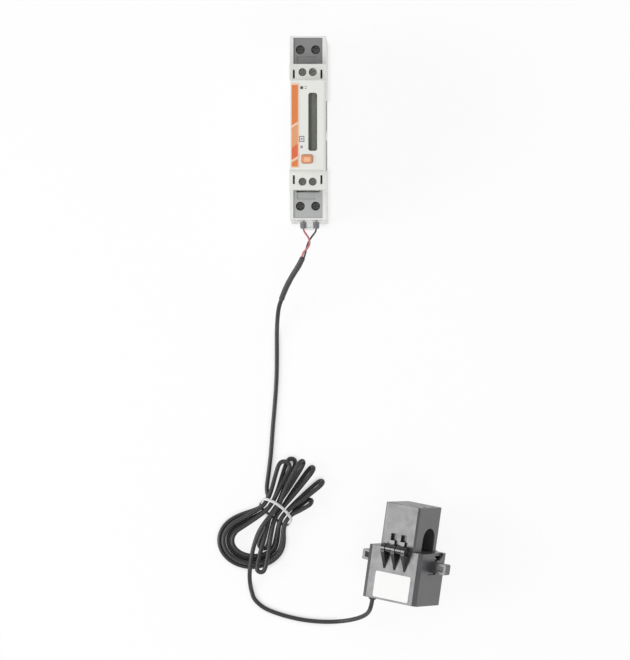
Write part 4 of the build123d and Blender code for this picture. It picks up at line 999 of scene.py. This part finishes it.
# %% [markdown]
# ## Soft plastics of the lead
# The cable's jacket and the cores are soft vinyl, with a broad dull sheen and a fine drag
# from the extruder along the cord. A curve's own texture coordinates would follow it, but at
# this thickness a fine noise does as well. The tie is white vinyl, a little waxy. The sleeve
# and the sensor's rubber bush are duller and rougher, and follow the same recipe.

# %% The soft plastics' recipe
def soft_vinyl(name, dark, light, rough, sheen, grain_mm=0.7):
    """A plastic with some sheen at its edges, from the soft skin."""
    material, tree, place = start(name)
    inputs = {
        "Base Color": tinted(tree, place, dark, light, size_mm=5),
        "Roughness": varied(tree, place, *rough, size_mm=3),
        "IOR": 1.53,
        "Sheen Weight": sheen,
        "Sheen Roughness": 0.5,
        "Normal": grained(tree, place, grain_mm, depth_mm=0.02, edge_mm=0.1),
    }
    surface(tree, inputs)
    return material


cable_jacket = soft_vinyl("black_vinyl_cable_jacket", "#2A2A2C", "#343436", (0.36, 0.48), 0.05)
shrink_tube = soft_vinyl("black_heat_shrink_tube", "#38383A", "#424244", (0.5, 0.62), 0.08, 1.1)
red_vinyl = soft_vinyl("red_vinyl_core", "#B8606A", "#C4707A", (0.4, 0.5), 0.05)
black_vinyl = soft_vinyl("black_vinyl_core", "#3A3A3B", "#444446", (0.4, 0.5), 0.05)
white_tie = soft_vinyl("white_vinyl_tie", "#D9D9DB", "#E0E0E2", (0.4, 0.55), 0.1)
black_bush = soft_vinyl("black_rubber_bush", "#2B2B2C", "#353536", (0.6, 0.75), 0.1)
print("soft plastics ready")

# %% [markdown]
# A ferrule is two things in one node: a grey nylon collar, and a tinned copper pin that the
# clamp holds. They meet at one place along y, so a step there switches both the colour and
# the metal. The coil's enamelled copper is metal as well, under a clear reddish lacquer.

# %% Ferrules and coil wire
collar_end = -45.95 * MM
pin_from = -45.85 * MM
ferrule_finish, tree, place = start("nylon_collar_and_tinned_pin")
parts = add(tree, "SeparateXYZ", {"Vector": place}).outputs
is_pin = ramp(tree, parts["Y"], collar_end, pin_from)
collar_grey = tinted(tree, place, "#77777A", "#828285", size_mm=2)
ferrule_inputs = {
    "Base Color": blend(tree, is_pin, collar_grey, linear("#B9BAB8")),
    "Metallic": is_pin,
    "Roughness": varied(tree, place, 0.4, 0.52, size_mm=2),
    "Normal": grained(tree, place, size_mm=0.4, depth_mm=0.01, edge_mm=0.2),
}
surface(tree, ferrule_inputs)
enamelled_copper, tree, place = start("enamelled_copper_wire")
wire_inputs = {
    "Base Color": tinted(tree, place, "#9A5324", "#B26A32", size_mm=1.2),
    "Metallic": 1.0,
    "Roughness": varied(tree, place, 0.22, 0.34, size_mm=1.5),
    "Coat Weight": 0.6,
    "Coat Roughness": 0.15,
    "Normal": grained(tree, place, size_mm=0.3, depth_mm=0.004, edge_mm=0.1),
}
surface(tree, wire_inputs)
print("ferrules and wire ready")

# %% [markdown]
# ## Dressing the pieces
# Each CAD node stays where it is and takes its material. The list goes by what a piece is
# made of, so that every node is named once.

# %% Give every piece its material
wear = {
    white_shell: ["housing_base"],
    printed_cover: ["front_cover"],
    pale_clip: ["rail_clip", "signal_block_upper", "signal_block_lower"],
    grey_blocks: ["terminal_block_upper"],
    light_blocks: ["terminal_block_lower"],
    stripe_film: ["front_stripe"],
    edge_shaded_film: ["side_labels"],
    white_vinyl: ["sensor_label"],
    crystal_panel: ["display_module"],
    smoked_window: ["display_window"],
    button_plastic: ["push_button"],
    dark_lens: ["pulse_led"],
    switch_body: ["button_switch"],
    board_mask: ["front_board", "main_board"],
    drawn_can: ["supply_capacitor"],
    transformer_core: ["supply_transformer"],
    brass_bar: ["terminal_bars"],
    ferrule_finish: ["ferrule_left", "ferrule_right"],
    sensor_shell: ["sensor_base", "sensor_cap", "sensor_cap_lid", "sensor_bottom_cover"],
    pin_steel: ["sensor_hinge_pin"],
    black_bush: ["sensor_outlet"],
    ferrite: ["sensor_core_lower", "sensor_core_upper"],
    bobbin_nylon: ["sensor_bobbin"],
    hole_shaded_screw: [name for name in nodes if name.startswith("mains_screw")],
    zinc_screw: [name for name in nodes if name.startswith("signal_screw")],
    tinned_cage: [name for name in nodes if "_cage_" in name],
}
soft = {
    cable: cable_jacket,
    sleeve: shrink_tube,
    red_core: red_vinyl,
    black_core: black_vinyl,
    tie: white_tie,
    coil: enamelled_copper,
}


def dress(piece, material):
    """Leave that material alone on the piece."""
    piece.data.materials.clear()
    piece.data.materials.append(material)


for material, names in wear.items():
    for name in names:
        dress(nodes[name], material)
for piece, material in soft.items():
    dress(piece, material)
print(sum(map(len, wear.values())), "CAD nodes dressed")

# %% [markdown]
# ## What moves with what
# The new pieces all belong to the meter's body: the lead lies where it is while the button,
# the clip, the screws and the sensor's cap move. Each says which CAD nodes it stands for,
# and those nodes are hidden.

# %% Ride and replace
stands_for = {
    cable: ("cable_upper", "cable_hank", "cable_lower"),
    sleeve: ("cable_sleeve",),
    red_core: ("lead_red",),
    black_core: ("lead_black",),
    tie: ("cable_tie",),
    coil: ("sensor_winding",),
}
for piece, names in stands_for.items():
    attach(piece, "meter")
    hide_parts(*names)
print(len(stands_for), "new pieces ride on the meter")

# %% [markdown]
# ## Floor
# The photograph has a plain white ground. The floor is white, and for the camera, for
# mirrors and through clear pieces it also glows, so that it reads as paper white. A share
# of it stays plain matt paper, which holds the soft shadow, and close to a piece the glow
# fades, so that the shadow is deepest where the piece touches it.

# %% Floor
floor_reach = 30.0
floor_drop = 0.0002
glow_share = 0.88
gap_reach = 2.5 * MM
gap_samples = 8
floor_mesh = bpy.data.meshes.new("floor")
corners = np.array([(-1, -1, 0), (1, -1, 0), (1, 1, 0), (-1, 1, 0)]) * floor_reach
floor_mesh.from_pydata((corners - (0, 0, floor_drop)).tolist(), [], [(0, 1, 2, 3)])
floor = bpy.data.objects.new("floor", floor_mesh)
scene.collection.objects.link(floor)
paper, tree = start("white_paper_floor")[:2]
seen = add(tree, "LightPath").outputs
mirrored = combine(tree, "ADD", seen["Is Glossy Ray"], seen["Is Transmission Ray"])
straight = combine(tree, "ADD", seen["Is Camera Ray"], mirrored)
matt = add(tree, "BsdfDiffuse", {"Color": linear("#F4F4F4")})
glow = add(tree, "Emission", {"Color": (1, 1, 1, 1), "Strength": 1.0})
open_share = add(tree, "AmbientOcclusion", {"Distance": gap_reach}, samples=gap_samples).outputs["AO"]
mostly = combine(tree, "MULTIPLY", combine(tree, "MULTIPLY", straight, glow_share), open_share)
end(tree, add(tree, "MixShader", {0: mostly, 1: matt.outputs[0], 2: glow.outputs[0]}))
floor_mesh.materials.append(paper)
print("floor", 2 * floor_reach, "m wide")

# %% [markdown]
# ## Light
# Four soft lamps and an even white world light the object. The strongest lamp stands on the
# left, where the sensor's leaning front mirrors it into the camera: that gives the front its
# sheen and leaves the sensor's right side darker. Weaker ones stand in front, behind and low
# on the right, so that no side falls into black. Each row gives a lamp's place, what it
# faces, its two sides in metres and its power in watts.

# %% Lamps and world
sensor_spot = Vector((0.035, -0.215, 0.02))
sheen_way = Vector((-0.87, 0.015, 0.49)).normalized()
sheen_distance = 1.25
left_place = sensor_spot + sheen_distance * sheen_way
lamps = {
    "left_softbox": (left_place, sensor_spot, 0.85, 0.6, 9.5),
    "front_softbox": ((0.25, -0.95, 1.15), (0.0, -0.1, 0.03), 0.9, 0.6, 4.6),
    "back_softbox": ((-0.1, 0.8, 1.2), (0.0, 0.0, 0.05), 0.8, 0.5, 2.8),
    "right_softbox": ((1.25, -0.2, 0.3), (0.02, -0.1, 0.03), 0.9, 0.35, 3.4),
}
world_strength = 0.42


def soft_lamp(name, place, target, width, height, power):
    """A rectangular lamp that faces its target."""
    data = bpy.data.lights.new(name, "AREA")
    data.shape = "RECTANGLE"
    data.size = width
    data.size_y = height
    data.energy = power
    lamp = bpy.data.objects.new(name, data)
    lamp.location = place
    lamp.rotation_euler = (Vector(target) - Vector(place)).to_track_quat("-Z", "Y").to_euler()
    scene.collection.objects.link(lamp)


for name, row in lamps.items():
    soft_lamp(name, *row)
world = bpy.data.worlds.new("studio")
world.use_nodes = True
world.node_tree.nodes.clear()
backdrop = add(world.node_tree, "Background", {"Color": (1, 1, 1, 1), "Strength": world_strength})
add(world.node_tree, "OutputWorld", {"Surface": backdrop.outputs[0]})
scene.world = world
print(len(lamps), "lamps, world strength", world_strength)
